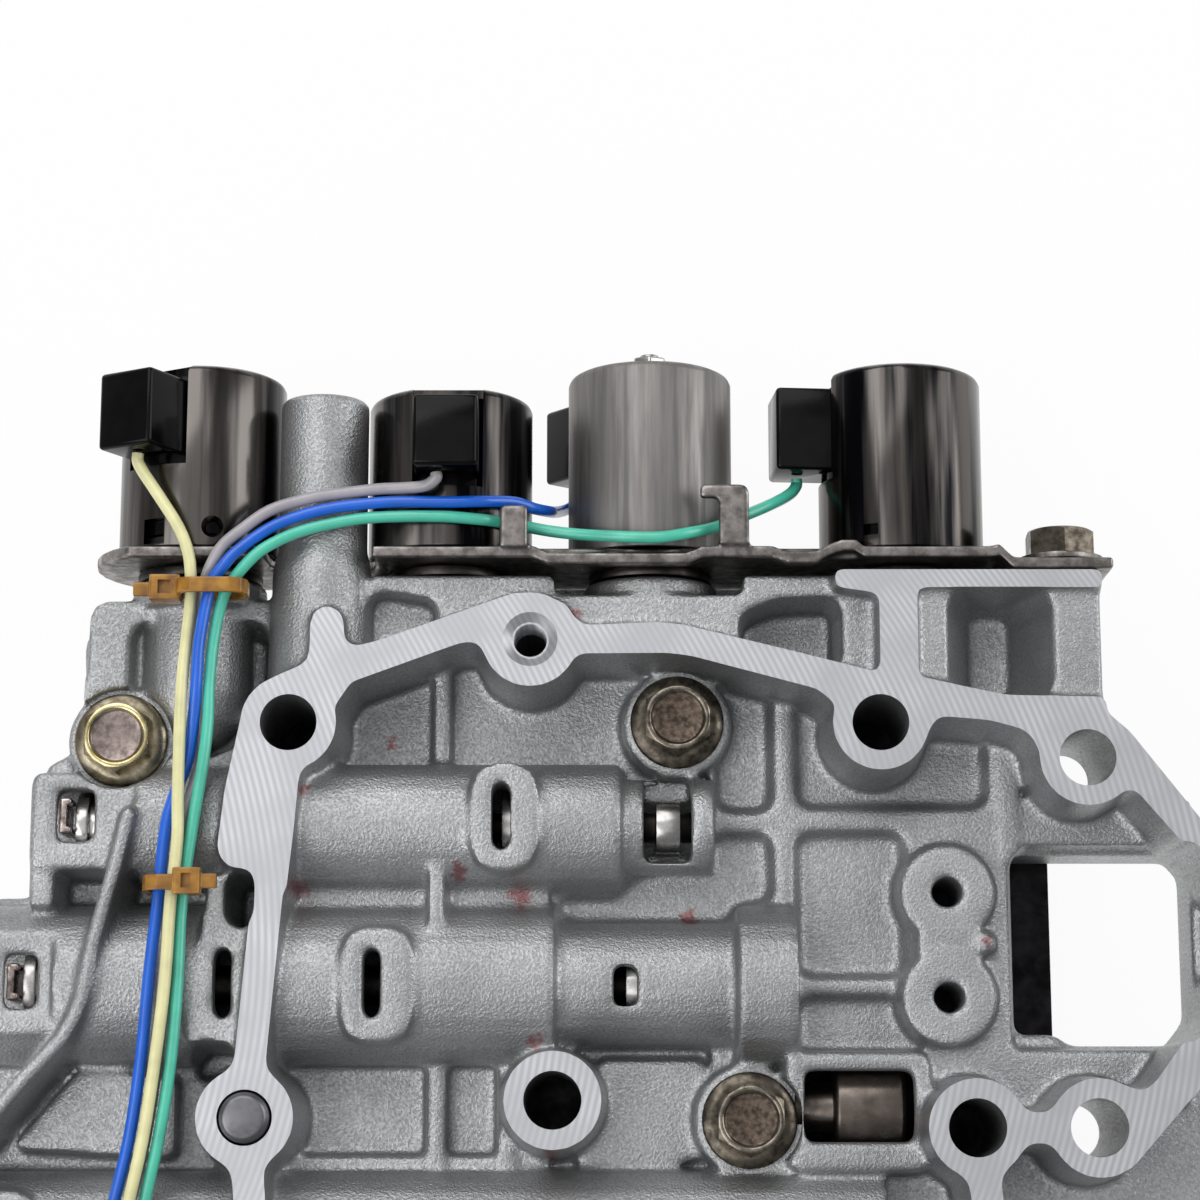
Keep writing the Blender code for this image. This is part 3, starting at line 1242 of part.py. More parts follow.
def solenoid(number):
    """Can, moulded coil, turned base with its nose, plunger and seal of one solenoid."""
    index = number - 1
    tag = "solenoid_%d_" % number
    x = CAN_AT_X[index]
    base_y = CAN_BASE_Y
    top_y = base_y + CAN_HEIGHT[index]
    up = (0.0, 1.0, 0.0)
    inner = CAN_RADIUS - CAN_WALL
    disc = 2.0
    block_high = top_y - BLOCK_DROP[index]
    block_low = block_high - BLOCK_HEIGHT[index]

    cup = [
        (0.0, CAN_HEIGHT[index] - CAN_TOP_WALL),
        (inner, CAN_HEIGHT[index] - CAN_TOP_WALL),
        (inner, 0.0),
        (CAN_RADIUS, 0.0),
        (CAN_RADIUS, CAN_HEIGHT[index] - 0.7),
        (CAN_RADIUS - 0.7, CAN_HEIGHT[index]),
        (0.0, CAN_HEIGHT[index]),
    ]
    can = turned(cup, (x, base_y, CAN_AXIS_Z), up, 24, tag + "can", CAN_STEEL)
    slot_width = BLOCK_WIDTH + 2.0 * SLOT_CLEARANCE
    cut(can, standing_block(x, block_low - 1.5, top_y + 1.0, BLOCK_ANGLE[index], inner - 1.9,
                            CAN_RADIUS + 2.0, slot_width))

    bobbin_low = base_y + disc + SEAT_GAP
    bobbin_high = top_y - CAN_TOP_WALL - SEAT_GAP
    sleeve = inner - RUNNING_GAP
    profile = [
        (COIL_BORE_RADIUS, 0.0),
        (sleeve, 0.0),
        (sleeve, bobbin_high - bobbin_low),
        (COIL_BORE_RADIUS, bobbin_high - bobbin_low),
        (COIL_BORE_RADIUS, 0.0),
    ]
    coil = turned(profile, (x, bobbin_low, CAN_AXIS_Z), up, 24, tag + "coil", BLACK_MOULDING)
    add(coil, standing_block(x, block_low, block_high, BLOCK_ANGLE[index], sleeve - 2.0, BLOCK_REACH,
                             BLOCK_WIDTH, 1.2))

    nose_foot = base_y - TOP_FACE_Y
    flange_low = SEAT_GAP
    neck_low = flange_low + FLANGE_THICKNESS
    disc_low = nose_foot + 0.3
    groove = -SEAL_SINK
    outline = [
        (0.0, -NOSE_LENGTH),
        (NOSE_RADIUS - 0.8, -NOSE_LENGTH),
        (NOSE_RADIUS, 0.8 - NOSE_LENGTH),
        (NOSE_RADIUS, groove - SEAL_GROOVE_WIDTH / 2.0),
        (NOSE_RADIUS - SEAL_GROOVE_DEPTH, groove - SEAL_GROOVE_WIDTH / 2.0),
        (NOSE_RADIUS - SEAL_GROOVE_DEPTH, groove + SEAL_GROOVE_WIDTH / 2.0),
        (NOSE_RADIUS, groove + SEAL_GROOVE_WIDTH / 2.0),
        (NOSE_RADIUS, flange_low),
        (FLANGE_RADIUS, flange_low),
        (FLANGE_RADIUS, neck_low),
        (NECK_RADIUS, neck_low),
        (NECK_RADIUS, disc_low),
        (inner - RUNNING_GAP, disc_low),
        (inner - RUNNING_GAP, nose_foot + disc),
        (POLE_RADIUS, nose_foot + disc),
        (POLE_RADIUS, nose_foot + disc + POLE_LENGTH),
        (0.0, nose_foot + disc + POLE_LENGTH),
    ]
    turned(outline, (x, TOP_FACE_Y, CAN_AXIS_Z), up, 14, tag + "base", TURNED_STEEL)

    plunger_low = base_y + disc + POLE_LENGTH + PLUNGER_TRAVEL + SEAT_GAP
    plunger_high = min(plunger_low + PLUNGER_LENGTH, bobbin_high)
    profile = [
        (0.0, 0.0),
        (PLUNGER_RADIUS, 0.0),
        (PLUNGER_RADIUS, plunger_high - plunger_low),
        (0.0, plunger_high - plunger_low),
    ]
    start = (x, plunger_low, CAN_AXIS_Z)
    own_origin(turned(profile, start, up, 12, tag + "plunger", TURNED_STEEL), start, up)

    bm = bmesh.new()
    seal_radius = NOSE_RADIUS - SEAL_GROOVE_DEPTH + RUNNING_GAP + SEAL_WIRE_RADIUS
    ring(bm, (x, TOP_FACE_Y + groove, CAN_AXIS_Z), up, seal_radius, SEAL_WIRE_RADIUS, 14, 6)
    finish(tag + "seal", bm, SEAL_RUBBER)


def ring(bm, origin, axis, radius, wire, steps, sides):
    """Torus swept by spinning a round section."""
    section = []
    for side in range(sides):
        angle = 2.0 * math.pi * side / sides
        place = Vector((radius + wire * math.cos(angle), 0.0, wire * math.sin(angle)))
        section.append(bm.verts.new(place * MM))
    edges = [bm.edges.new((section[side - 1], section[side])) for side in range(sides)]
    bmesh.ops.spin(
        bm,
        geom=section + edges,
        cent=(0.0, 0.0, 0.0),
        axis=(0.0, 0.0, 1.0),
        angle=2.0 * math.pi,
        steps=steps,
        use_merge=True,
    )
    bmesh.ops.remove_doubles(bm, verts=bm.verts[:], dist=1e-6)
    bmesh.ops.transform(bm, matrix=frame_of(origin, axis), verts=bm.verts[:])


NUT_RADIUS = 2.6
NUT_HEIGHT = 1.6


def can_nut():
    """Small nut on the third can's top."""
    top = CAN_BASE_Y + CAN_HEIGHT[2] + SEAT_GAP
    shape = prism(circle((0.0, 0.0), NUT_RADIUS, 6), 0.0, NUT_HEIGHT, 0.0, "solenoid_3_nut", STAMPED_STEEL)
    shape.matrix_world = frame_of((CAN_AT_X[2], top, CAN_AXIS_Z), (0.0, 1.0, 0.0))


# Retainer plate

def wavy_strip(wave, back, front, name="shape", look=None):
    """Sheet whose lower side follows (x, rise) points, between two heights."""
    lower = [(x, RETAINER_Y + rise) for x, rise in wave]
    upper = [(x, y + RETAINER_THICKNESS) for x, y in reversed(lower)]
    return prism(lower + upper, back, front, 0.0, name, look)


def retainer_plate():
    """Stamped plate, slotted for the solenoid necks, with a wavy front lip and two tabs bent up."""
    low = RETAINER_Y
    dip = TOP_FACE_Y + SEAT_GAP - low
    flat = [(-81.6, 0.0), (62.6, 0.0), (64.9, dip), (80.6, dip)]
    lip = [(-81.6, 0.0), (-10.6, 0.0), (-8.0, -1.1), (13.6, -1.1), (16.2, 0.0), (27.0, 0.0), (29.4, -0.9),
           (33.8, -0.9), (36.0, 0.3), (38.0, 1.0), (40.2, 1.0), (41.4, 0.0), (59.5, 0.0), (61.2, 0.0),
           (62.8, 0.3), (64.9, dip), (80.6, dip)]
    plate = wavy_strip(flat, RETAINER_BACK_Z, RETAINER_LIP_Z + 0.6, "retainer_plate", STAMPED_STEEL)
    add(plate, wavy_strip(lip, RETAINER_LIP_Z, RETAINER_FRONT_Z))
    up = (0.0, 1.0, 0.0)
    slot = NECK_RADIUS + RETAINER_SLOT_CLEARANCE
    for x in CAN_AT_X:
        cut(plate, rod((x, low - 4.0, CAN_AXIS_Z), up, slot, 12.0, 18))
        cut(plate, block(x - slot, x + slot, low - 4.0, low + 8.0, RETAINER_BACK_Z - 1.0, CAN_AXIS_Z))
    around = TOWER_RADIUS + TOWER_FLARE + RETAINER_SLOT_CLEARANCE
    cut(plate, rod((TOWER_X, low - 4.0, TOWER_Z), up, around, 12.0, 20))
    above = RETAINER_FRONT_Z + 1.0
    cut(plate, block(TOWER_X - around, TOWER_X + around, low - 4.0, low + 8.0, TOWER_Z, above))
    x, z = PLATE_BOLT_AT
    cut(plate, rod((x, low - 4.0, z), up, BOLT_RADIUS + BOLT_HOLE_CLEARANCE, 12.0, 14))
    round_left_end(plate, low)
    joggled = RETAINER_FRONT_Z + TAB_JOGGLE
    for outline in (tab_outline(), hook_outline()):
        add(plate, prism(outline, joggled - RETAINER_THICKNESS, joggled))
    return plate


def round_left_end(plate, low):
    """Trim the plate's left end to an arc round the first can."""
    x = CAN_AT_X[0]
    radius = 16.4
    away = [(-100.0, low - 4.0), (x, low - 4.0), (x, low + 8.0), (-100.0, low + 8.0)]
    trim = prism(away, RETAINER_BACK_Z - 2.0, RETAINER_FRONT_Z + 2.0)
    keep = rod((x, low - 6.0, (RETAINER_BACK_Z + RETAINER_FRONT_Z) / 2.0), (0.0, 1.0, 0.0), radius, 16.0, 28)
    cut(trim, keep)
    cut(plate, trim)


def tab_outline():
    """Upright tab between the second and third can."""
    foot = RETAINER_Y + RETAINER_THICKNESS - 0.4
    return rounded([(-15.8, foot, 0.0), (-11.4, foot, 0.0), (-11.4, 88.6, 0.5), (-15.8, 88.6, 0.5)])


def hook_outline():
    """Hooked tab that holds the green lead."""
    foot = RETAINER_Y + RETAINER_THICKNESS
    return rounded([
        (18.7, foot, 0.0),
        (23.4, foot, 0.0),
        (23.4, 92.0, 1.2),
        (15.8, 92.0, 0.6),
        (15.8, 89.9, 0.3),
        (18.7, 89.9, 0.6),
    ])


def plate_bolt():
    """Bolt and washer that clamp the retainer plate at its right end."""
    x, z = PLATE_BOLT_AT
    seat = TOP_FACE_Y + SEAT_GAP + RETAINER_THICKNESS + SEAT_GAP
    washer = [
        (BOLT_RADIUS + 0.35, 0.0),
        (BOLT_FLANGE_RADIUS - 0.6, 0.0),
        (BOLT_FLANGE_RADIUS - 0.6, 1.0),
        (BOLT_RADIUS + 0.35, 1.0),
        (BOLT_RADIUS + 0.35, 0.0),
    ]
    turned(washer, (x, seat, z), (0, 1, 0), 20, "plate_washer", STAMPED_STEEL)
    bolt = turned(
        [(0.0, -13.0), (BOLT_RADIUS, -13.0), (BOLT_RADIUS, 0.6), (0.0, 0.6)],
        (0.0, 0.0, 0.0), (0, 0, 1), 16, "plate_bolt", BROWN_STEEL,
    )
    add(bolt, prism(hexagon((0.0, 0.0), BOLT_ACROSS_FLATS), 0.0, 4.2))
    chamfer = BOLT_ACROSS_FLATS / 2.0
    cap = [(chamfer * 0.94, 4.8), (chamfer * 0.94, 4.2), (chamfer * 1.3, 3.2), (chamfer * 1.3, 4.8),
           (chamfer * 0.94, 4.8)]
    cut(bolt, turned(cap, (0.0, 0.0, 0.0), (0, 0, 1), 20))
    bolt.matrix_world = frame_of((x, seat + 1.0 + SEAT_GAP, z), (0.0, 1.0, 0.0))


# Leads

YELLOW_ROUTE = [
    (-72.9, 97.0, 41.7), (-72.9, 95.8, 41.7), (-72.1, 94.2, 41.9), (-70.5, 91.8, 42.2),
    (-68.3, 88.5, 42.6), (-66.2, 85.2, 43.0),
    (-64.7, 81.9, 43.2), (-64.0, 78.7, 43.0), (-63.9, 73.3, 42.3), (-64.4, 67.0, 42.2), (-64.8, 60.6, 42.7),
    (-64.9, 54.3, 43.2), (-64.9, 41.8, 43.1), (-64.8, 35.7, 43.1), (-65.6, 26.5, 43.0), (-66.1, 14.3, 43.0),
    (-67.3, 2.3, 42.7), (-68.9, -9.6, 42.2), (-70.9, -20.0, 42.0), (-71.4, -26.0, 41.9), (-71.6, -34.0, 39.6),
    (-70.4, -42.2, 34.4), (-70.4, -43.5, 34.4),
]
GREY_ROUTE = [
    (-25.7, 93.3, 44.0), (-25.7, 92.5, 44.0), (-27.4, 91.5, 43.1), (-30.5, 91.3, 42.4),
    (-34.6, 91.2, 42.0), (-40.9, 90.5, 41.9),
    (-45.6, 89.7, 42.1), (-51.8, 87.6, 42.6), (-56.4, 84.2, 43.0), (-58.9, 82.0, 43.1), (-60.4, 79.6, 42.9),
    (-61.8, 76.7, 41.4), (-62.4, 73.5, 40.4), (-62.9, 67.0, 40.1), (-63.0, 60.6, 39.7), (-62.8, 54.3, 39.4),
    (-62.2, 48.5, 39.0), (-62.9, 44.5, 39.9), (-64.5, 39.0, 40.5), (-65.3, 33.0, 40.2), (-66.0, 26.5, 39.7),
    (-66.3, 20.4, 40.3), (-66.6, 14.3, 40.6), (-67.4, 2.3, 39.8), (-69.0, -9.6, 39.3), (-71.2, -20.0, 39.2),
    (-72.0, -27.0, 39.5), (-72.8, -34.0, 36.2), (-73.6, -42.2, 31.2),
    (-73.6, -43.5, 31.2),
]
BLUE_ROUTE = [
    (-2.8, 98.1, 14.0), (-2.8, 97.0, 14.0), (-4.6, 94.4, 16.4), (-6.2, 92.8, 20.0),
    (-7.4, 91.2, 26.0), (-8.2, 90.0, 31.5),
    (-10.5, 89.4, 36.2), (-13.6, 89.9, 38.4), (-18.5, 89.4, 41.2), (-23.6, 89.1, 42.0), (-31.5, 89.1, 42.2),
    (-36.2, 88.8, 42.3), (-42.4, 88.0, 42.4), (-47.1, 86.8, 42.4), (-51.7, 84.8, 42.7), (-56.9, 80.7, 43.6),
    (-58.9, 78.3, 43.7), (-60.5, 76.0, 43.4), (-62.2, 67.0, 43.2), (-62.5, 60.7, 42.9), (-63.0, 54.4, 41.9),
    (-63.8, 48.2, 41.0), (-65.5, 43.7, 40.7), (-66.9, 38.5, 40.8), (-67.8, 26.7, 41.0), (-68.9, 14.5, 41.0),
    (-69.7, 2.4, 40.9), (-71.2, -9.6, 40.6), (-73.6, -20.5, 40.2), (-74.7, -26.5, 39.7), (-74.9, -34.0, 37.6),
    (-73.6, -42.2, 34.4), (-73.6, -43.5, 34.4),
]
GREEN_ROUTE = [
    (31.8, 96.1, 28.5), (31.8, 95.0, 28.5), (30.6, 93.2, 30.2), (27.3, 90.6, 34.0),
    (22.4, 87.8, 37.2), (18.6, 86.1, 37.8),
    (14.2, 84.5, 40.6), (9.4, 83.5, 41.8), (3.1, 83.7, 41.3), (-3.4, 84.8, 38.0), (-8.0, 85.6, 36.8),
    (-12.7, 86.4, 37.2), (-15.8, 86.6, 38.9), (-18.9, 86.6, 40.7), (-25.2, 86.8, 41.9), (-36.1, 86.6, 41.9),
    (-42.4, 85.6, 41.9), (-47.1, 84.3, 42.2), (-51.2, 82.2, 43.1), (-54.0, 80.2, 43.2), (-57.5, 76.2, 42.7),
    (-59.0, 73.2, 42.2), (-60.2, 67.0, 41.8), (-60.7, 60.6, 41.7), (-60.7, 54.3, 42.1), (-61.2, 48.1, 42.4),
    (-62.6, 39.0, 41.6), (-64.1, 26.5, 41.2), (-64.4, 14.3, 41.3), (-65.1, 2.3, 41.2), (-66.7, -9.6, 40.9),
    (-68.8, -20.0, 40.3), (-69.4, -26.0, 39.9), (-69.6, -34.0, 36.9), (-70.4, -42.2, 31.2),
    (-70.4, -43.5, 31.2),
]


def smooth_route(route, spacing):
    """Points a given distance apart on the smooth curve through the route, whose ends stay straight."""
    points = [Vector(point) for point in route]
    fine = []
    for index in range(len(points) - 1):
        before = points[max(index - 1, 0)]
        start, end = points[index], points[index + 1]
        after = points[min(index + 2, len(points) - 1)]
        leave = (end - before) / ((end - start).length + (start - before).length) * (end - start).length
        arrive = (after - start) / ((after - end).length + (end - start).length) * (end - start).length
        for step in range(12):
            t = step / 12.0
            fine.append(
                start * (2.0 * t**3 - 3.0 * t**2 + 1.0)
                + leave * (t**3 - 2.0 * t**2 + t)
                + end * (3.0 * t**2 - 2.0 * t**3)
                + arrive * (t**3 - t**2)
            )
    fine.append(points[-1])
    lengths = [0.0]
    for near, far in zip(fine, fine[1:]):
        lengths.append(lengths[-1] + (far - near).length)
    count = max(2, round(lengths[-1] / spacing))
    placed = []
    index = 0
    for step in range(count + 1):
        target = lengths[-1] * step / count
        while index < len(fine) - 2 and lengths[index + 1] < target:
            index += 1
        part = (target - lengths[index]) / (lengths[index + 1] - lengths[index])
        placed.append(fine[index].lerp(fine[index + 1], part))
    return [placed[0], points[1]] + placed[1:-1] + [points[-2], placed[-1]]


def wire(name, route):
    """Insulated lead: a round bevelled curve with closed ends."""
    curve = bpy.data.curves.new(name, "CURVE")
    curve.dimensions = "3D"
    curve.bevel_depth = WIRE_RADIUS * MM
    curve.bevel_resolution = 2
    curve.use_fill_caps = True
    spline = curve.splines.new("POLY")
    points = smooth_route(route, WIRE_STEP)
    spline.points.add(len(points) - 1)
    for point, place in zip(spline.points, points):
        point.co = (*(place * MM), 1.0)
    curve.materials.append(WIRE_COLOURS[name])
    made = bpy.data.objects.new(name, curve)
    bpy.context.scene.collection.objects.link(made)


def across_wires(outline, y_low, y_high, name="shape", look=None):
    """Shape over an (x, z) outline between two stations on Y."""
    shape = prism([(x, -z) for x, z in outline], 0.0, y_high - y_low, 0.0, name, look)
    shape.data.transform(Matrix.Rotation(math.radians(-90.0), 4, "X"))
    shape.data.transform(Matrix.Translation((0.0, y_low * MM, 0.0)))
    return shape


def cable_tie(name, y, inside, head, tail):
    """Moulded tie: a closed band round the leads, its ratchet head and the cut tail."""
    y_low = y - TIE_WIDTH / 2.0
    y_high = y + TIE_WIDTH / 2.0
    tie = across_wires(grown(box(*inside, 1.8), TIE_THICKNESS), y_low, y_high, name, AMBER_NYLON)
    cut(tie, across_wires(box(*inside, 1.8), y_low - 1.0, y_high + 1.0))
    add(tie, across_wires(box(*head, 0.5), y - 2.0, y + 2.0))
    add(tie, across_wires(box(*tail), y_low + 0.1, y_high - 0.1))


def case_connector():
    """Round moulded plug with a collar, a seal groove and four sockets."""
    x, y = CONNECTOR_AT
    z = FLOOR_Z + SEAT_GAP + CONNECTOR_RADIUS
    radius = CONNECTOR_RADIUS
    profile = [
        (0.0, 0.0),
        (radius - 1.6, 0.0),
        (radius - 1.6, 5.0),
        (radius, 5.0),
        (radius, 8.0),
        (radius - 1.2, 8.0),
        (radius - 1.2, 10.4),
        (radius - 2.0, 10.4),
        (radius - 2.0, 12.0),
        (radius - 1.2, 12.0),
        (radius - 1.2, CONNECTOR_LENGTH),
        (radius - 2.2, CONNECTOR_LENGTH),
        (radius - 2.2, CONNECTOR_LENGTH - 5.0),
        (0.0, CONNECTOR_LENGTH - 5.0),
    ]
    plug = turned(profile, (x, y, z), (0.0, -1.0, 0.0), 16, "case_connector", BLACK_MOULDING)
    for side in (-1.6, 1.6):
        for lift in (-1.6, 1.6):
            low = y - CONNECTOR_LENGTH + 1.0
            cut(plug, rod((x + side, low, z + lift), (0.0, 1.0, 0.0), 0.8, 8.0, 8))


front_casting()
separator_plate()
rear_casting()
check_balls()
flange_bolt("face_bolt_left", BOLT_LEFT_AT, ZINC_STEEL)
flange_bolt("face_bolt_middle", BOLT_MIDDLE_AT, BROWN_STEEL)
flange_bolt("face_bolt_right", BOLT_RIGHT_AT, BROWN_STEEL)
flange_bolt("face_bolt_lower", BOLT_LOWER_AT, BROWN_STEEL)
dowel_pin()
valves()
for number in (1, 2, 3, 4):
    solenoid(number)
can_nut()
retainer_plate()
plate_bolt()
wire("wire_yellow", YELLOW_ROUTE)
wire("wire_grey", GREY_ROUTE)
wire("wire_blue", BLUE_ROUTE)
wire("wire_green", GREEN_ROUTE)
cable_tie(
    "cable_tie_upper",
    75.2,
    inside=(-65.3, -55.8, 39.1, 44.9),
    head=(-70.3, -65.5, 39.4, 43.8),
    tail=(-73.0, -70.0, 41.0, 42.0),
)
cable_tie(
    "cable_tie_lower",
    29.0,
    inside=(-69.1, -62.3, 38.4, 44.5),
    head=(-64.9, -60.6, 44.7, 47.6),
    tail=(-60.9, -58.2, 45.6, 46.6),
)
case_connector()
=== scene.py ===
"""Looks of the valve body: cast and milled aluminium, solenoids, leads, and the studio round them."""

import math

import bmesh
import bpy
from mathutils import Matrix, Vector


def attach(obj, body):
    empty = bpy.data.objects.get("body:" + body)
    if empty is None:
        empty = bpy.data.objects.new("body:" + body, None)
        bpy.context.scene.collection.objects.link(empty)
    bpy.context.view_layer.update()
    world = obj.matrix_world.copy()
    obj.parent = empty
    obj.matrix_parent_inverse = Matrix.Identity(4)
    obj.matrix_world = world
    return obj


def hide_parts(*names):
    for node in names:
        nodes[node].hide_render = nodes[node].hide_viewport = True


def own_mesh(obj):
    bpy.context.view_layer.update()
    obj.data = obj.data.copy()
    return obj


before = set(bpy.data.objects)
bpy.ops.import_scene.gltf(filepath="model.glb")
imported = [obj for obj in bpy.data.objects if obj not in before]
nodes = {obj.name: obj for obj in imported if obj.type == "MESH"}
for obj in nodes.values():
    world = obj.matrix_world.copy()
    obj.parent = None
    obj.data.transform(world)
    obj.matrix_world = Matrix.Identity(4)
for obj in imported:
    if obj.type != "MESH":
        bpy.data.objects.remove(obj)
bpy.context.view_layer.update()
MM = 0.001


# Studio: a pale floor that is white to the camera, soft boxes overhead and at the sides, and a camera
# that looks down on the object at 78.5 degrees, as the photograph does.

def linear(hex_colour):
    """An sRGB hex colour as the linear values that shaders take."""
    channels = [int(hex_colour[i:i + 2], 16) / 255.0 for i in (1, 3, 5)]
    return (*[c / 12.92 if c <= 0.04045 else ((c + 0.055) / 1.055) ** 2.4 for c in channels], 1.0)


def node(tree, kind, inputs=None, stops=(), **settings):
    """Adds a shader node. An input is a value, a socket, or a node whose first output is meant; stops
    are the (position, hex colour or grey level) points of a colour ramp."""
    made = tree.nodes.new("ShaderNode" + kind)
    for name, value in settings.items():
        setattr(made, name, value)
    for name, value in (inputs or {}).items():
        if isinstance(value, bpy.types.Node):
            value = value.outputs[0]
        if isinstance(value, bpy.types.NodeSocket):
            tree.links.new(value, made.inputs[name])
        else:
            made.inputs[name].default_value = value
    for index, (position, colour) in enumerate(stops):
        elements = made.color_ramp.elements
        element = elements[index] if index < 2 else elements.new(position)
        element.position = position
        element.color = linear(colour) if isinstance(colour, str) else (colour, colour, colour, 1.0)
    return made


scene = bpy.context.scene
scene.view_settings.view_transform = "Standard"

TILT = math.radians(11.5)
camera_data = bpy.data.cameras.new("camera")
camera_data.lens = 90.0
camera_data.sensor_width = 36.0
camera = bpy.data.objects.new("camera", camera_data)
camera.location = (0.0, -0.020, 0.501)
camera.rotation_euler = (TILT, 0.0, 0.0)
scene.collection.objects.link(camera)
scene.camera = camera

world = bpy.data.worlds.new("studio")
world.use_nodes = True
world_tree = world.node_tree
world_tree.nodes.clear()
soft = node(world_tree, "Background", {"Color": linear("#f1f1f3"), "Strength": 0.36})
node(world_tree, "OutputWorld", {"Surface": soft})
scene.world = world

# Soft boxes: name, watts, size in metres, place, point that it faces
SOFT_BOXES = [
    ("key_box", 9.0, 1.10, (-0.35, 0.95, 0.92), (-0.02, 0.0, 0.03)),
    ("left_box", 8.2, 1.10, (-0.80, -0.44, 0.95), (-0.02, 0.0, 0.03)),
    ("top_box", 3.0, 1.30, (-0.30, 0.05, 1.40), (0.0, 0.02, 0.03)),
    ("side_box", 5.2, 0.80, (0.92, 0.34, 0.50), (0.0, 0.08, 0.03)),
]
for name, watts, size, place, facing in SOFT_BOXES:
    lamp = bpy.data.lights.new(name, "AREA")
    lamp.energy = watts
    lamp.size = size
    box_object = bpy.data.objects.new(name, lamp)
    box_object.location = place
    box_object.rotation_euler = (Vector(facing) - Vector(place)).to_track_quat("-Z", "Y").to_euler()
    scene.collection.objects.link(box_object)

floor_mesh = bpy.data.meshes.new("floor")
shape = bmesh.new()
bmesh.ops.create_grid(shape, x_segments=1, y_segments=1, size=12.0)
shape.to_mesh(floor_mesh)
shape.free()
floor = bpy.data.objects.new("floor", floor_mesh)
scene.collection.objects.link(floor)
floor_paint = bpy.data.materials.new("studio_paper")
floor_paint.use_nodes = True
floor_tree = floor_paint.node_tree
floor_tree.nodes.clear()
ray = node(floor_tree, "LightPath")
seen = node(floor_tree, "Math", {0: ray.outputs["Is Camera Ray"], 1: ray.outputs["Is Glossy Ray"]},
            operation="MAXIMUM")
seen = node(floor_tree, "Math", {0: seen, 1: ray.outputs["Is Transmission Ray"]}, operation="MAXIMUM")
paper = node(floor_tree, "BsdfDiffuse", {"Color": linear("#e6e6e6")})
glow = node(floor_tree, "Emission", {"Color": (1.0, 1.0, 1.0, 1.0), "Strength": 1.0})
lit = node(floor_tree, "MixShader", {0: 0.94, 1: paper, 2: glow})
node(floor_tree, "OutputMaterial", {"Surface": node(floor_tree, "MixShader", {0: seen, 1: paper, 2: lit})})
floor_mesh.materials.append(floor_paint)


# Castings: two die castings of aluminium, blasted to a satin grain, with the rounded edges that a die
# gives. The rail and its holes are machined afterwards, so those edges are crisp and the face is bright.

def blank_material(name):
    """A material with an empty tree."""
    made = bpy.data.materials.new(name)
    made.use_nodes = True
    made.node_tree.nodes.clear()
    return made, made.node_tree


# Traces of red sealant left where the casting was wiped: (x, y, radius in mm)
RED_TRACES = [
    (-33.1, 53.3, 1.2), (-4.4, 71.5, 1.6), (-21.8, 31.7, 1.8), (-12.5, 28.2, 2.4), (14.1, 25.4, 1.6),
    (60.3, 21.2, 1.2), (-10.1, 5.2, 1.4), (-7.7, -11.6, 1.5), (-47.1, 29.0, 1.8), (-46.2, 44.0, 1.2),
]


def cast_material():
    """Die-cast aluminium: satin grey, with a grain of about half a millimetre that scatters its gloss."""
    made, tree = blank_material("cast_aluminium")
    place = node(tree, "TexCoord").outputs["Object"]
    cloud = node(tree, "TexNoise", {"Vector": place, "Scale": 1000.0 / 16.0, "Detail": 3.0})
    grain = node(tree, "TexNoise", {"Vector": place, "Scale": 1000.0 / 0.45, "Detail": 2.0, "Roughness": 0.6})
    lumps = node(tree, "TexNoise", {"Vector": place, "Scale": 1000.0 / 3.5, "Detail": 1.0})
    tone = node(tree, "ValToRGB", {"Fac": cloud}, [(0.3, "#a0a1a2"), (0.7, "#b6b7b8")])
    speck = node(tree, "ValToRGB", {"Fac": grain}, [(0.34, 0.55), (0.64, 1.0)])
    tone = node(tree, "Mix", {0: 0.6, 6: tone, 7: speck}, data_type="RGBA", blend_type="MULTIPLY").outputs[2]
    # Noise of 0 to 1 moves the traces' outlines by up to 4 mm, and the centres allow for its mean.
    ragged_mm = 4.0
    most = (ragged_mm * MM, ragged_mm * MM, 0.0)
    drift = node(tree, "TexNoise", {"Vector": place, "Scale": 1000.0 / 1.4}).outputs["Color"]
    ragged = node(tree, "VectorMath", {0: drift, 1: most}, operation="MULTIPLY")
    shifted = node(tree, "VectorMath", {0: place, 1: ragged}, operation="ADD")
    flat = node(tree, "VectorMath", {0: shifted, 1: (1.0, 1.0, 0.0)}, operation="MULTIPLY")
    traces = 0.0
    for x, y, radius in RED_TRACES:
        centre = ((x + ragged_mm / 2.0) * MM, (y + ragged_mm / 2.0) * MM, 0.0)
        away = node(tree, "VectorMath", {0: flat, 1: centre}, operation="DISTANCE").outputs["Value"]
        near = node(tree, "MapRange", {"Value": away, "From Min": 0.3 * radius * MM, "From Max": radius * MM,
                                       "To Min": 0.75, "To Max": 0.0})
        traces = node(tree, "Math", {0: near, 1: traces}, operation="MAXIMUM")
    tone = node(tree, "Mix", {0: traces, 6: tone, 7: linear("#8a4a4c")}, data_type="RGBA").outputs[2]
    rough = node(tree, "MapRange", {"Value": grain, "From Min": 0.3, "From Max": 0.7,
                                    "To Min": 0.54, "To Max": 0.3})
    wavy = node(tree, "Bump", {"Height": lumps, "Distance": 0.07 * MM, "Strength": 0.5})
    grainy = node(tree, "Bump", {"Height": grain, "Distance": 0.2 * MM, "Strength": 0.9, "Normal": wavy})
    shader = node(tree, "BsdfPrincipled", {"Base Color": tone, "Metallic": 0.88, "Roughness": rough,
                                           "Normal": grainy})
    node(tree, "OutputMaterial", {"Surface": shader})
    return made


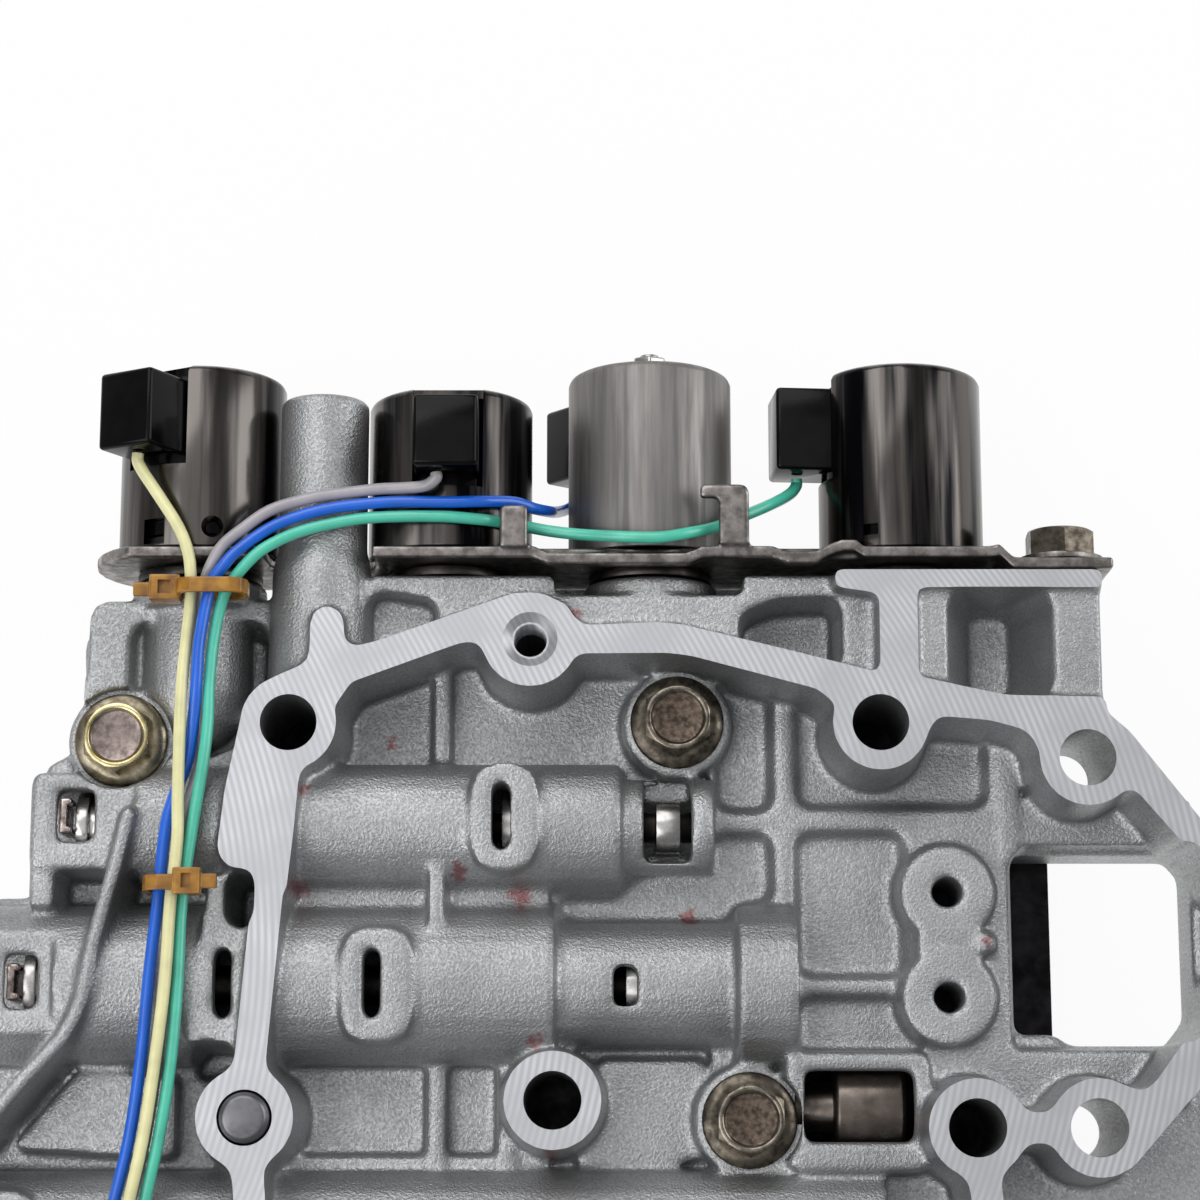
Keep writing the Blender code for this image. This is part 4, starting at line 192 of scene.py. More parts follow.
def milled_material():
    """Face-milled aluminium: bright, with the cutter's arcs about a millimetre apart."""
    made, tree = blank_material("milled_aluminium")
    place = node(tree, "TexCoord").outputs["Object"]
    split = node(tree, "SeparateXYZ", {"Vector": place})
    # The cutter is 200 mm across and travels along X at Y 18 mm, so each mark is part of a circle.
    cutter_y, cutter_radius, feed = 0.018, 0.100, 0.0011
    aside = node(tree, "Math", {0: split.outputs["Y"], 1: cutter_y}, operation="SUBTRACT")
    squared = node(tree, "Math", {0: aside, 1: aside}, operation="MULTIPLY")
    under_root = node(tree, "Math", {0: cutter_radius**2, 1: squared}, operation="SUBTRACT")
    reach = node(tree, "Math", {0: under_root}, operation="SQRT")
    along = node(tree, "Math", {0: split.outputs["X"], 1: reach}, operation="SUBTRACT")
    phase = node(tree, "Math", {0: along, 1: 2.0 * math.pi / feed}, operation="MULTIPLY")
    marks = node(tree, "Math", {0: phase}, operation="SINE")
    patches = node(tree, "TexNoise", {"Vector": place, "Scale": 1000.0 / 9.0, "Detail": 2.0})
    fine = node(tree, "TexNoise", {"Vector": place, "Scale": 1000.0 / 0.35, "Detail": 2.0})
    lift = node(tree, "MapRange", {"Value": marks, "From Min": -1.0})
    strength = node(tree, "MapRange", {"Value": patches, "From Min": 0.35, "From Max": 0.65, "To Min": 0.25})
    height = node(tree, "Math", {0: lift, 1: strength}, operation="MULTIPLY")
    relief = node(tree, "Math", {0: fine, 1: 0.5, 2: height}, operation="MULTIPLY_ADD")
    normal = node(tree, "Bump", {"Height": relief, "Distance": 0.012 * MM, "Strength": 0.55})
    tone = node(tree, "ValToRGB", {"Fac": height}, [(0.0, "#b6b7bb"), (1.0, "#d0d1d5")])
    shader = node(tree, "BsdfPrincipled", {"Base Color": tone, "Metallic": 0.9, "Roughness": 0.42,
                                           "Normal": normal})
    node(tree, "OutputMaterial", {"Surface": shader})
    return made


def solid(bm, name="shape"):
    """An object from a closed bmesh."""
    mesh = bpy.data.meshes.new(name)
    bm.to_mesh(mesh)
    bm.free()
    made = bpy.data.objects.new(name, mesh)
    scene.collection.objects.link(made)
    return made


def copy_of(name, piece_name):
    """A merged copy of a CAD solid's mesh as a new object."""
    bm = bmesh.new()
    bm.from_mesh(nodes[name].data)
    bmesh.ops.remove_doubles(bm, verts=bm.verts[:], dist=1e-6)
    return solid(bm, piece_name)


def apply_modifiers(piece):
    """Replaces the piece's mesh by what its modifiers give."""
    graph = bpy.context.evaluated_depsgraph_get()
    result = bpy.data.meshes.new_from_object(piece.evaluated_get(graph))
    old = piece.data
    piece.modifiers.clear()
    piece.data = result
    bpy.data.meshes.remove(old)


def combine(piece, other, operation):
    """Boolean of two closed shapes; the other one, an object or a bmesh, is used up."""
    other = other if isinstance(other, bpy.types.Object) else solid(other)
    step = piece.modifiers.new(operation, "BOOLEAN")
    step.operation = operation
    step.solver = "MANIFOLD"
    step.object = other
    apply_modifiers(piece)
    bpy.data.objects.remove(other, do_unlink=True)


def standing(origin, axis):
    """Matrix that stands a shape made on +Z at a point in mm, along an axis."""
    turn = Vector((0.0, 0.0, 1.0)).rotation_difference(Vector(axis)).to_matrix().to_4x4()
    return Matrix.Translation(Vector(origin) * MM) @ turn


def soften(bm, width_mm, segments=3):
    """Rounds every edge at which the surface turns by more than 30 degrees."""
    corner = math.radians(30.0)
    sharp = [e for e in bm.edges if len(e.link_faces) == 2 and e.calc_face_angle(0.0) > corner]
    bmesh.ops.bevel(bm, geom=sharp, offset=width_mm * MM, offset_type="OFFSET", affect="EDGES",
                    segments=segments, profile=0.5, material=-1, clamp_overlap=True)


def cylinder(place_mm, radius_mm, depth_mm, axis=(0.0, 0.0, 1.0), steps=48, far_radius_mm=None):
    """Closed cylinder or cone from a point along an axis."""
    bm = bmesh.new()
    far_radius_mm = radius_mm if far_radius_mm is None else far_radius_mm
    lift = Matrix.Translation((0.0, 0.0, depth_mm * MM / 2.0))
    bmesh.ops.create_cone(bm, cap_ends=True, segments=steps, radius1=radius_mm * MM,
                          radius2=far_radius_mm * MM, depth=depth_mm * MM,
                          matrix=standing(place_mm, axis) @ lift)
    return bm


def turned(profile, origin, axis, edge_mm=0.2, steps=48):
    """Closed bmesh spun from (radius, distance) points in mm round an axis, its corners rounded."""
    bm = bmesh.new()
    points = [bm.verts.new((radius * MM, 0.0, along * MM)) for radius, along in profile]
    edges = [bm.edges.new(pair) for pair in zip(points, points[1:])]
    bmesh.ops.spin(bm, geom=points + edges, cent=(0.0, 0.0, 0.0), axis=(0.0, 0.0, 1.0), angle=2.0 * math.pi,
                   steps=steps, use_merge=True)
    bmesh.ops.remove_doubles(bm, verts=bm.verts[:], dist=1e-6)
    bmesh.ops.recalc_face_normals(bm, faces=bm.faces[:])
    if edge_mm:
        soften(bm, edge_mm, segments=2)
    bmesh.ops.transform(bm, matrix=standing(origin, axis), verts=bm.verts[:])
    return bm


def slab(low_mm, high_mm, edge_mm=0.0, frame_matrix=Matrix.Identity(4)):
    """Closed block between two corners, its edges rounded where an edge is given."""
    bm = bmesh.new()
    low, high = Vector(low_mm) * MM, Vector(high_mm) * MM
    place = Matrix.Translation((low + high) / 2.0) @ Matrix.Diagonal((*(high - low), 1.0))
    bmesh.ops.create_cube(bm, size=1.0, matrix=place)
    if edge_mm:
        soften(bm, edge_mm)
    bmesh.ops.transform(bm, matrix=frame_matrix, verts=bm.verts[:])
    return bm


def rounded_skin(piece, voxel_mm, passes, most_triangles):
    """Rounds a solid's edges and corners as a mould or a press does, and keeps the mesh within a limit."""
    remesh = piece.modifiers.new("skin", "REMESH")
    remesh.mode = "VOXEL"
    remesh.voxel_size = voxel_mm * MM
    smooth = piece.modifiers.new("rounding", "SMOOTH")
    smooth.factor = 0.5
    smooth.iterations = passes
    apply_modifiers(piece)
    count = sum(len(face.vertices) - 2 for face in piece.data.polygons)
    if count > most_triangles:
        fewer = piece.modifiers.new("fewer", "DECIMATE")
        fewer.ratio = most_triangles / count
        apply_modifiers(piece)


def finished(piece, looks, replaced, body="valve_body", sharp=35.0):
    """Gives a piece its materials and smooth shading, attaches it to its body and hides the CAD node that it
    stands for.
    """
    piece.data.materials.clear()
    for look in looks:
        piece.data.materials.append(look)
    piece.data.shade_smooth()
    piece.data.set_sharp_from_angle(angle=math.radians(sharp))
    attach(piece, body)
    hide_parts(replaced)


cast_aluminium = cast_material()
milled_aluminium = milled_material()
RAIL_Z = 42.0
MATE_Z = 14.0
# Stock above the rail, milled off after the rounding so that the rail's edges are crisp
ABOVE = 2.5
RAIL_HOLES = [(-48.3, 54.1), (43.5, 54.1), (75.4, 48.6), (57.0, -7.8), (75.4, -7.8), (-7.2, -3.7),
              (-49.5, -54.0), (6.0, -62.0), (62.0, -54.0)]
HOLE_RADIUS = 4.4
TAPPED_AT = (-10.9, 67.2)
TAP_DRILL_RADIUS = 2.6
THREAD_PITCH = 1.0
DOWEL_AT = (-53.7, -6.3)
DOWEL_FLOOR_Z = 23.9
BOLTS_AT = {"left": (-75.7, 52.8), "middle": (12.2, 55.7), "right": (23.1, -6.4), "lower": (28.0, -37.5)}
BOLT_SEAT_Z = 31.0
SPOT_FACE_RADIUS = 8.1

# Bosses fill the rear casting's bolt holes while it is rounded, since the wall beside the left one is
# too thin for that, and the holes are bored again afterwards
REAR_BOSS_LOW_Z = 1.5
REAR_BOSS_HIGH_Z = 12.0
REAR_BOSS_RADIUS = 4.6
REAR_HOLE_FLOOR_Z = 4.1
REAR_HOLE_RADIUS = 3.3
rear = copy_of("rear_casting", "rear_casting_skin")
for at in BOLTS_AT.values():
    boss = cylinder((*at, REAR_BOSS_LOW_Z), REAR_BOSS_RADIUS, REAR_BOSS_HIGH_Z - REAR_BOSS_LOW_Z)
    combine(rear, boss, "UNION")
rounded_skin(rear, voxel_mm=1.0, passes=4, most_triangles=60000)
for at in BOLTS_AT.values():
    combine(rear, cylinder((*at, REAR_HOLE_FLOOR_Z), REAR_HOLE_RADIUS, 10.0), "DIFFERENCE")
finished(rear, [cast_aluminium], "rear_casting", sharp=45.0)

front = copy_of("front_casting", "front_casting_skin")
bm = bmesh.new()
bm.from_mesh(front.data)
rail_faces = [f for f in bm.faces if f.normal.z > 0.999 and f.calc_center_median().z > (RAIL_Z - 0.02) * MM]
grown = bmesh.ops.extrude_face_region(bm, geom=rail_faces)
raised = [item for item in grown["geom"] if isinstance(item, bmesh.types.BMVert)]
bmesh.ops.translate(bm, verts=raised, vec=(0.0, 0.0, ABOVE * MM))
bmesh.ops.delete(bm, geom=rail_faces, context="FACES_ONLY")
bmesh.ops.recalc_face_normals(bm, faces=bm.faces[:])
bm.to_mesh(front.data)
bm.free()
# The holes are filled for the rounding too
FILL_RADIUS = 4.9
DOWEL_FILL_Z = 22.0
for x, y in RAIL_HOLES:
    combine(front, cylinder((x, y, MATE_Z), HOLE_RADIUS + 0.8, RAIL_Z + ABOVE - MATE_Z), "UNION")
combine(front, cylinder((*TAPPED_AT, MATE_Z), FILL_RADIUS, RAIL_Z + ABOVE - MATE_Z), "UNION")
combine(front, cylinder((*DOWEL_AT, DOWEL_FILL_Z), FILL_RADIUS, RAIL_Z + ABOVE - DOWEL_FILL_Z), "UNION")
rounded_skin(front, voxel_mm=0.6, passes=8, most_triangles=185000)
# Milling: the rail's face, then its holes, each with a cutter that is longer than the hole
CUTTER_LENGTH = 40.0
combine(front, slab((-130.0, -100.0, RAIL_Z), (130.0, 130.0, RAIL_Z + 20.0)), "DIFFERENCE")
for x, y in RAIL_HOLES:
    combine(front, cylinder((x, y, MATE_Z - 2.0), HOLE_RADIUS, CUTTER_LENGTH), "DIFFERENCE")
combine(front, cylinder((*TAPPED_AT, MATE_Z - 2.0), TAP_DRILL_RADIUS, CUTTER_LENGTH), "DIFFERENCE")
# The thread is a row of ring grooves below a countersink
groove = [(0.0, -0.45), (2.4, -0.45), (3.05, 0.0), (2.4, 0.45), (0.0, 0.45)]
for turn in range(9):
    groove_at = (*TAPPED_AT, RAIL_Z - 1.6 - THREAD_PITCH * turn)
    combine(front, turned(groove, groove_at, (0.0, 0.0, 1.0), 0.0), "DIFFERENCE")
combine(front, cylinder((*TAPPED_AT, RAIL_Z - 1.3), 2.9, 1.6, far_radius_mm=4.6), "DIFFERENCE")
combine(front, cylinder((*DOWEL_AT, DOWEL_FLOOR_Z), 4.2, 30.0), "DIFFERENCE")
for at in BOLTS_AT.values():
    combine(front, cylinder((*at, BOLT_SEAT_Z), SPOT_FACE_RADIUS, 30.0, steps=64), "DIFFERENCE")
# The shuttle's trough, bored with room for its travel
ALONG_X = (1.0, 0.0, 0.0)
SHUTTLE_Y = -4.3
SHUTTLE_Z = 23.5
TROUGH_X = 30.1
TROUGH_LENGTH = 20.6
TROUGH_RADIUS = 7.8
trough = cylinder((TROUGH_X, SHUTTLE_Y, SHUTTLE_Z), TROUGH_RADIUS, TROUGH_LENGTH, ALONG_X, 64)
combine(front, trough, "DIFFERENCE")
# Low land at the back of the upper face, which closes the gap under the retainer plate
LAND_CORNERS = ((-37.5, 76.0, 14.4), (64.0, 80.2, 16.7))
combine(front, slab(*LAND_CORNERS), "UNION")
finished(front, [cast_aluminium, milled_aluminium], "front_casting", sharp=40.0)
# Bare cut metal shows on the rail and in the thread
THREAD_REACH = 4.5
for face in front.data.polygons:
    on_rail = face.normal.z > 0.999 and face.center.z > (RAIL_Z - 0.02) * MM
    in_thread = (face.center.xy - Vector(TAPPED_AT) * MM).length < THREAD_REACH * MM
    face.material_index = 1 if on_rail or in_thread else 0


# Separator plate: a rolled steel sheet between the castings. It shows as a thin dark edge all round and
# as the dark floor of the openings, where its near black colour is painted shade.

def steel_material(name, dark, light, roughness, patch_mm=4.0, mark_mm=0.25, relief_mm=0.02, along_y=1.0,
                   blur=0.14):
    """Bare or plated steel. Patches drift between two colours and change its gloss, and fine marks break
    its reflections; along_y below 1 draws both out into streaks along Y, as a deep draw does, and on the
    tinted cans these streaks are also painted reflections. blur is how softly the patches' edges run out."""
    made, tree = blank_material(name)
    place = node(tree, "TexCoord").outputs["Object"]
    place = node(tree, "Mapping", {"Vector": place, "Scale": (1.0, along_y, 1.0)})
    cloud = node(tree, "TexNoise", {"Vector": place, "Scale": 1000.0 / patch_mm, "Detail": 4.0,
                                    "Roughness": 0.6})
    fine = node(tree, "TexNoise", {"Vector": place, "Scale": 1000.0 / mark_mm, "Detail": 3.0,
                                   "Roughness": 0.6})
    tone = node(tree, "ValToRGB", {"Fac": cloud}, [(0.5 - blur, dark), (0.5 + blur, light)])
    spread = node(tree, "MapRange", {"Value": cloud, "From Min": 0.3, "From Max": 0.7,
                                     "To Min": roughness * 1.3, "To Max": roughness * 0.8})
    marks = node(tree, "Bump", {"Height": fine, "Distance": relief_mm * MM, "Strength": 0.4})
    shader = node(tree, "BsdfPrincipled", {"Base Color": tone, "Metallic": 1.0, "Roughness": spread,
                                           "Normal": marks})
    node(tree, "OutputMaterial", {"Surface": shader})
    return made


def dress(look, *names):
    """Gives CAD solids that keep their mesh their finish."""
    for name in names:
        mesh = nodes[name].data
        mesh.materials.clear()
        mesh.materials.append(look)


# Rolled sheet, dull and dark with oil, painted nearly black as the shade on the openings' floors
dress(steel_material("separator_steel_painted_shade", "#19191b", "#29292b", 0.5), "separator_plate")


# Valves: three hardened spools, ground bright on their lands, each held in its bore by a spring, a turned
# plug and a folded steel clip that drops through a window. A short piston sits in the trough at the right.

# Ground and turned steel: bright, with grinding marks too fine to see singly
turned_steel = steel_material("ground_steel", "#9c9a98", "#c3c1bf", 0.24, relief_mm=0.008)
# The same steel between the lands, left black from hardening and painted darker still as the shade in the
# bore round the thin stems
stem_steel_painted_shade = steel_material("scaled_steel_painted_shade", "#1f1d1c", "#33302e", 0.42)
# Oil-tempered wire: an even grey, half bright
spring_steel = steel_material("spring_wire", "#7c7c7c", "#989898", 0.34)
# Folded strip, tinned: bright with a warm cast
clip_steel = steel_material("tinned_strip", "#5d5451", "#b9aba5", 0.28, patch_mm=1.5)
# Bore: Y and Z of its axis, the plug's radius, the X and the low and high Y of the clip's window, each
# land's start, end and radius, the radius of the stem between lands, and the X at which the spool ends
BORES = {
    "a": (39.3, 29.0, 5.6, (-84.6, 36.2, 44.4),
          [(-56.0, -48.0, 5.6), (-38.0, -30.0, 5.6), (-15.4, -6.0, 5.6), (8.8, 12.6, 4.2)], 2.4, 15.9),
    "b": (14.6, 26.8, 8.1, (-91.8, 10.4, 18.7),
          [(-66.0, -60.5, 8.1), (-54.0, -40.0, 8.1), (-28.0, -16.0, 8.1), (4.0, 12.0, 5.6)], 3.2, 19.3),
    "c": (-25.0, 27.0, 6.6, (-91.8, -29.0, -21.0),
          [(-60.0, -50.0, 6.6), (-30.0, -18.0, 6.6), (4.0, 14.0, 6.6), (28.0, 34.0, 6.6)], 2.8, 39.7),
}
CLIP_TOP_Z = 36.4
CLIP_GAUGE = 1.2
CLIP_DEPTH = 1.9
CLIP_EDGE = 0.45
for tag, (y, z, radius, (window_x, window_low, window_high), lands, stem, end) in BORES.items():
    stem_ends = [following[0] for following in lands[1:]] + [end]
    profile = [(0.0, lands[0][0])]
    for (low, high, land), stem_end in zip(lands, stem_ends):
        profile += [(land, low), (land, high), (stem, high), (stem, stem_end)]
    profile.append((0.0, end))
    spool = solid(turned(profile, (0.0, y, z), ALONG_X), "spool_%s_turned" % tag)
    finished(spool, [turned_steel, stem_steel_painted_shade], "spool_" + tag, "spool_%s_body" % tag)
    # Faces near the axis take the black steel, which paints the bore's shade between the lands
    for face in spool.data.polygons:
        from_axis = math.hypot(face.center.y - y * MM, face.center.z - z * MM)
        face.material_index = 1 if from_axis < (stem + 0.3) * MM else 0
    clip_x, clip_foot = window_x + 0.3, z + 0.4
    clip_low, clip_high = window_low + 1.3, window_high - 1.3
    web = slab((clip_x, clip_low, clip_foot), (clip_x + CLIP_GAUGE, clip_high, CLIP_TOP_Z), CLIP_EDGE)
    clip = solid(web, "clip_%s_folded" % tag)
    for arm_low in (clip_low, clip_high - CLIP_GAUGE):
        arm_end = (clip_x + CLIP_DEPTH, arm_low + CLIP_GAUGE, CLIP_TOP_Z)
        combine(clip, slab((clip_x, arm_low, clip_foot), arm_end, CLIP_EDGE), "UNION")
    finished(clip, [clip_steel], "retainer_clip_" + tag)
    plug = [(0.0, 0.0), (radius, 0.0), (radius, 2.0), (radius - 1.2, 2.0), (radius - 1.2, 3.2), (radius, 3.2),
            (radius, 7.0), (0.0, 7.0)]
    plug_x = clip_x + CLIP_DEPTH + 0.3
    finished(solid(turned(plug, (plug_x, y, z), ALONG_X, 0.3), "plug_%s_turned" % tag), [turned_steel],
             "bore_plug_" + tag)

# Case-hardened piston, darker than the ground spools
shuttle_steel = steel_material("hardened_steel", "#57504b", "#786f69", 0.3)
SHUTTLE_X = 30.4
piston = [(0.0, 0.0), (4.0, 0.0), (4.0, 6.0), (6.8, 6.0), (7.4, 6.6), (7.4, 16.4), (6.8, 17.0), (0.0, 17.0)]
shuttle = solid(turned(piston, (SHUTTLE_X, SHUTTLE_Y, SHUTTLE_Z), ALONG_X, 0.25, 64), "shuttle_turned")
finished(shuttle, [shuttle_steel], "shuttle_piston", "shuttle")
# Spring: X of its fixed end, its length at rest, and the travel of the spool that shortens it
SPRINGS = {"a": (-74.8, 18.5, 4.0), "b": (-82.0, 15.7, 4.0), "c": (-82.0, 21.7, 5.0)}
for tag, (fixed_x, at_rest, travel) in SPRINGS.items():
    spring = copy_of("spring_" + tag, "spring_%s_wound" % tag)
    finished(spring, [spring_steel], "spring_" + tag)
    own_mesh(spring)
dress(turned_steel, "check_ball_1", "check_ball_2", "check_ball_3")


# Face bolts: M6 flange bolts, forged, with a dished head, that clamp both castings and the plate. One is
# yellow zinc plated and the others have gone brown. A ground dowel beside them finds the body in the case.

# Yellow zinc chromate, rubbed bright on the dish's rim, where the brighter colour is also a painted
# highlight, and worn pinkish inside it
zinc_steel = steel_material("yellow_zinc", "#6b6353", "#9d9480", 0.28, patch_mm=2.0)
zinc_rim_and_highlight = steel_material("polished_zinc_and_painted_highlight", "#a89a6c", "#d2c69c", 0.16, patch_mm=2.0)
zinc_dish = steel_material("worn_zinc", "#6b605c", "#9a8d88", 0.34, patch_mm=1.2, mark_mm=0.5, relief_mm=0.05)
# Plating gone brown with heat and oil, rubbed paler on the dish's rim, where the paler colour is also a
# painted highlight, and rusty inside it
brown_steel = steel_material("oxidised_steel", "#39352f", "#686157", 0.3, patch_mm=1.6)
brown_rim_and_highlight = steel_material("rubbed_steel_and_painted_highlight", "#4d4840", "#8a8377", 0.22, patch_mm=1.6)
rust_dish = steel_material("rusty_steel", "#3f3732", "#716459", 0.44, patch_mm=0.9, mark_mm=0.4,
                           relief_mm=0.06)
BOLT_RADIUS = 3.0
BOLT_END_Z = 4.3
RIM_RADIUS = 5.1
DISH_RADIUS = 3.95
# Corner radius of a hexagon that is 10 mm across its flats
HEAD_CORNER = 10.0 / math.sqrt(3.0)


def hexagon_head(at, axis, low, high, dish_mm):
    """Hexagon with a chamfered, dished top, between two heights along its axis."""
    top = [(0.0, low), (6.4, low), (6.4, high - 1.0), (4.9, high), (4.35, high), (3.9, high - dish_mm),
           (0.0, high - dish_mm * 1.2)]
    head = solid(turned(top, at, axis, 0.2, 72))
    prism_foot = Vector(at) + Vector(axis) * (low - 0.5)
    combine(head, cylinder(prism_foot, HEAD_CORNER, high - low + 1.0, axis, 6), "INTERSECT")
    return head


for tag, at in BOLTS_AT.items():
    seat = (*at, BOLT_SEAT_Z + 0.3)
    reach = BOLT_SEAT_Z + 0.3 - BOLT_END_Z
    flange = [(0.0, -reach), (BOLT_RADIUS - 0.5, -reach), (BOLT_RADIUS, 0.8 - reach), (BOLT_RADIUS, 0.0),
              (7.4, 0.0), (7.4, 0.8), (5.9, 1.5), (0.0, 1.5)]
    bolt = solid(turned(flange, seat, (0.0, 0.0, 1.0), 0.3, 72), "face_bolt_%s_forged" % tag)
    combine(bolt, hexagon_head(seat, (0.0, 0.0, 1.0), 1.0, 6.0, 0.6), "UNION")
    looks = [zinc_steel, zinc_rim_and_highlight, zinc_dish] if tag == "left" else [brown_steel, brown_rim_and_highlight, rust_dish]
    finished(bolt, looks, "face_bolt_" + tag)
    # Index 1 is the rim, whose brighter colour is partly a painted highlight
    for face in bolt.data.polygons:
        aside = (face.center.xy - Vector(at) * MM).length
        on_top = face.center.z > (BOLT_SEAT_Z + 4.0) * MM and aside < RIM_RADIUS * MM
        face.material_index = (2 if aside < DISH_RADIUS * MM else 1) if on_top else 0

# Dowel: ground, then dulled by handling
pin_steel = steel_material("dull_ground_steel", "#626265", "#7c7c80", 0.38)
pin = [(0.0, 0.0), (3.9, 0.0), (3.9, 17.0), (3.2, 18.0), (0.0, 18.0)]
dowel = solid(turned(pin, (*DOWEL_AT, 25.2), (0.0, 0.0, 1.0), 0.35), "dowel_ground")
finished(dowel, [pin_steel], "dowel_pin")


# Solenoids: a deep-drawn steel can over a coil moulded in glass-filled nylon, on a turned base with a nose
# in the casting. The terminal block stands out through a slot in the can, to a different side on each.

def moulded_material(name, dark, light, roughness, glow=0.0, gloss=0.5):
    """Moulded plastic: a smooth skin with faint grain, cloudy where light gets in."""
    made, tree = blank_material(name)
    place = node(tree, "TexCoord").outputs["Object"]
    cloud = node(tree, "TexNoise", {"Vector": place, "Scale": 1000.0 / 3.0, "Detail": 3.0})
    grain = node(tree, "TexNoise", {"Vector": place, "Scale": 1000.0 / 0.4, "Detail": 2.0})
    tone = node(tree, "ValToRGB", {"Fac": cloud}, [(0.35, dark), (0.65, light)])
    normal = node(tree, "Bump", {"Height": grain, "Distance": 0.015 * MM, "Strength": 0.4})
    shader = node(tree, "BsdfPrincipled", {"Base Color": tone, "Roughness": roughness, "IOR": 1.5,
                                           "Normal": normal, "Specular IOR Level": gloss,
                                           "Subsurface Weight": glow,
                                           "Subsurface Radius": (0.002, 0.0012, 0.0005)})
    node(tree, "OutputMaterial", {"Surface": shader})
    return made


# Glass-filled nylon, moulded against a polished face: black and glossy
black_nylon = moulded_material("black_nylon", "#040404", "#080809", 0.14, gloss=0.14)
# Nitrile rubber: nearly black, dull
seal_rubber = moulded_material("nitrile_rubber", "#1c1c1c", "#282828", 0.55)
# Deep-drawn steel with a dark tint and paler, brownish streaks along the can that are partly draw lines and
# partly painted reflections of long lamps
drawn_dark_painted_reflections = steel_material("drawn_steel_tinted_painted_reflections", "#111114", "#605c59", 0.2, patch_mm=6.5, mark_mm=0.6,
                            along_y=0.05, blur=0.08)
# The cans' flat tops carry no draw lines, only a cloudy tint
drawn_top = steel_material("drawn_steel_top", "#47423f", "#66605b", 0.3, patch_mm=9.0)
# The third can was blasted: mid grey, dull, with faint lines
drawn_matt = steel_material("drawn_steel_matt", "#757371", "#8a8785", 0.52, patch_mm=1.6, mark_mm=0.5,
                            along_y=0.05)
# Free-cutting steel of the bases, blackened
base_steel = steel_material("blackened_steel", "#2c2a29", "#4b4846", 0.36)
UP = (0.0, 1.0, 0.0)
CAN_Z = 27.0
CAN_RADIUS = 13.2
CAN_BASE_Y = 82.6
CAN_AT_X = (-64.4, -24.2, 8.1, 48.7)
CAN_HEIGHT = (29.6, 26.0, 30.4, 30.0)
BLOCK_ANGLE = (30.0, 0.0, 140.0, 85.0)
BLOCK_HEIGHT = (12.4, 11.4, 12.4, 13.6)
BLOCK_DROP = (2.4, 3.4, 2.0, 2.4)
BLOCK_REACH = 20.8
BLOCK_HALF = 5.1
TOP_FACE_Y = 78.3

for index, x in enumerate(CAN_AT_X):
    tag = "solenoid_%d_" % (index + 1)
    height = CAN_HEIGHT[index]
    top = CAN_BASE_Y + height
    block_high = top - BLOCK_DROP[index]
    block_low = block_high - BLOCK_HEIGHT[index]
    turn = math.radians(BLOCK_ANGLE[index])
    outward = Vector((-math.sin(turn), 0.0, math.cos(turn)))
    up = Vector(UP)
    radial = Matrix((outward, up.cross(outward), up)).transposed().to_4x4()
    radial.translation = Vector((x, 0.0, CAN_Z)) * MM

    cup = [(0.0, height - 1.4), (12.2, height - 1.4), (12.2, 0.0), (CAN_RADIUS, 0.0),
           (CAN_RADIUS, height - 1.3), (CAN_RADIUS - 0.35, height - 0.45), (CAN_RADIUS - 1.2, height),
           (0.0, height)]
    can = solid(turned(cup, (x, CAN_BASE_Y, CAN_Z), UP, 0.3, 96), tag + "can_drawn")
    slot = slab((10.3, -BLOCK_HALF - 0.5, block_low - 1.5), (15.2, BLOCK_HALF + 0.5, top + 1.0), 0.0, radial)
    combine(can, slot, "DIFFERENCE")
    if index == 0:
        # Staking hole with its dimple, and the window of the coil's catch
        combine(can, cylinder((-60.9, 85.7, 40.9), 2.4, 3.2, (0.0, 0.0, -1.0), 32, 0.6), "DIFFERENCE")
        combine(can, slab((-72.2, 83.2, 33.0), (-68.8, 87.2, 42.0)), "DIFFERENCE")
    if index == 3:
        # Window of the coil's catch
        combine(can, slab((41.7, 84.6, 34.0), (43.9, 86.4, 42.0)), "DIFFERENCE")
    # The tinted sides' paler streaks are painted reflections as well as draw lines
    sides, lid = (drawn_matt, drawn_matt) if index == 2 else (drawn_dark_painted_reflections, drawn_top)
    finished(can, [sides, lid], tag + "can", sharp=30.0)
    for face in can.data.polygons:
        face.material_index = 1 if face.normal.y > 0.9 else 0

    sleeve = [(4.0, CAN_BASE_Y + 2.3), (11.8, CAN_BASE_Y + 2.3), (11.8, top - 1.7), (4.0, top - 1.7),
              (4.0, CAN_BASE_Y + 2.3)]
    coil = solid(turned(sleeve, (x, 0.0, CAN_Z), UP, 0.0, 64), tag + "coil_moulded")
    block = slab((9.8, -BLOCK_HALF, block_low), (BLOCK_REACH, BLOCK_HALF, block_high), 0.7, radial)
    combine(coil, block, "UNION")
    finished(coil, [black_nylon], tag + "coil", sharp=30.0)

    foot = CAN_BASE_Y - TOP_FACE_Y
    # Nose with its seal groove, flange, neck, seat under the coil, and pole
    outline = [(0.0, -11.0), (3.4, -11.0), (4.2, -10.2), (4.2, -5.0), (3.0, -5.0), (3.0, -3.0), (4.2, -3.0),
               (4.2, 0.3), (10.0, 0.3), (10.0, 1.8), (6.0, 1.8), (6.0, foot + 0.3), (11.8, foot + 0.3),
               (11.8, foot + 2.0), (3.6, foot + 2.0), (3.6, foot + 8.0), (0.0, foot + 8.0)]
    base = solid(turned(outline, (x, TOP_FACE_Y, CAN_Z), UP, 0.25, 64), tag + "base_turned")
    finished(base, [base_steel], tag + "base")
    dress(turned_steel, tag + "plunger")
    dress(seal_rubber, tag + "seal")

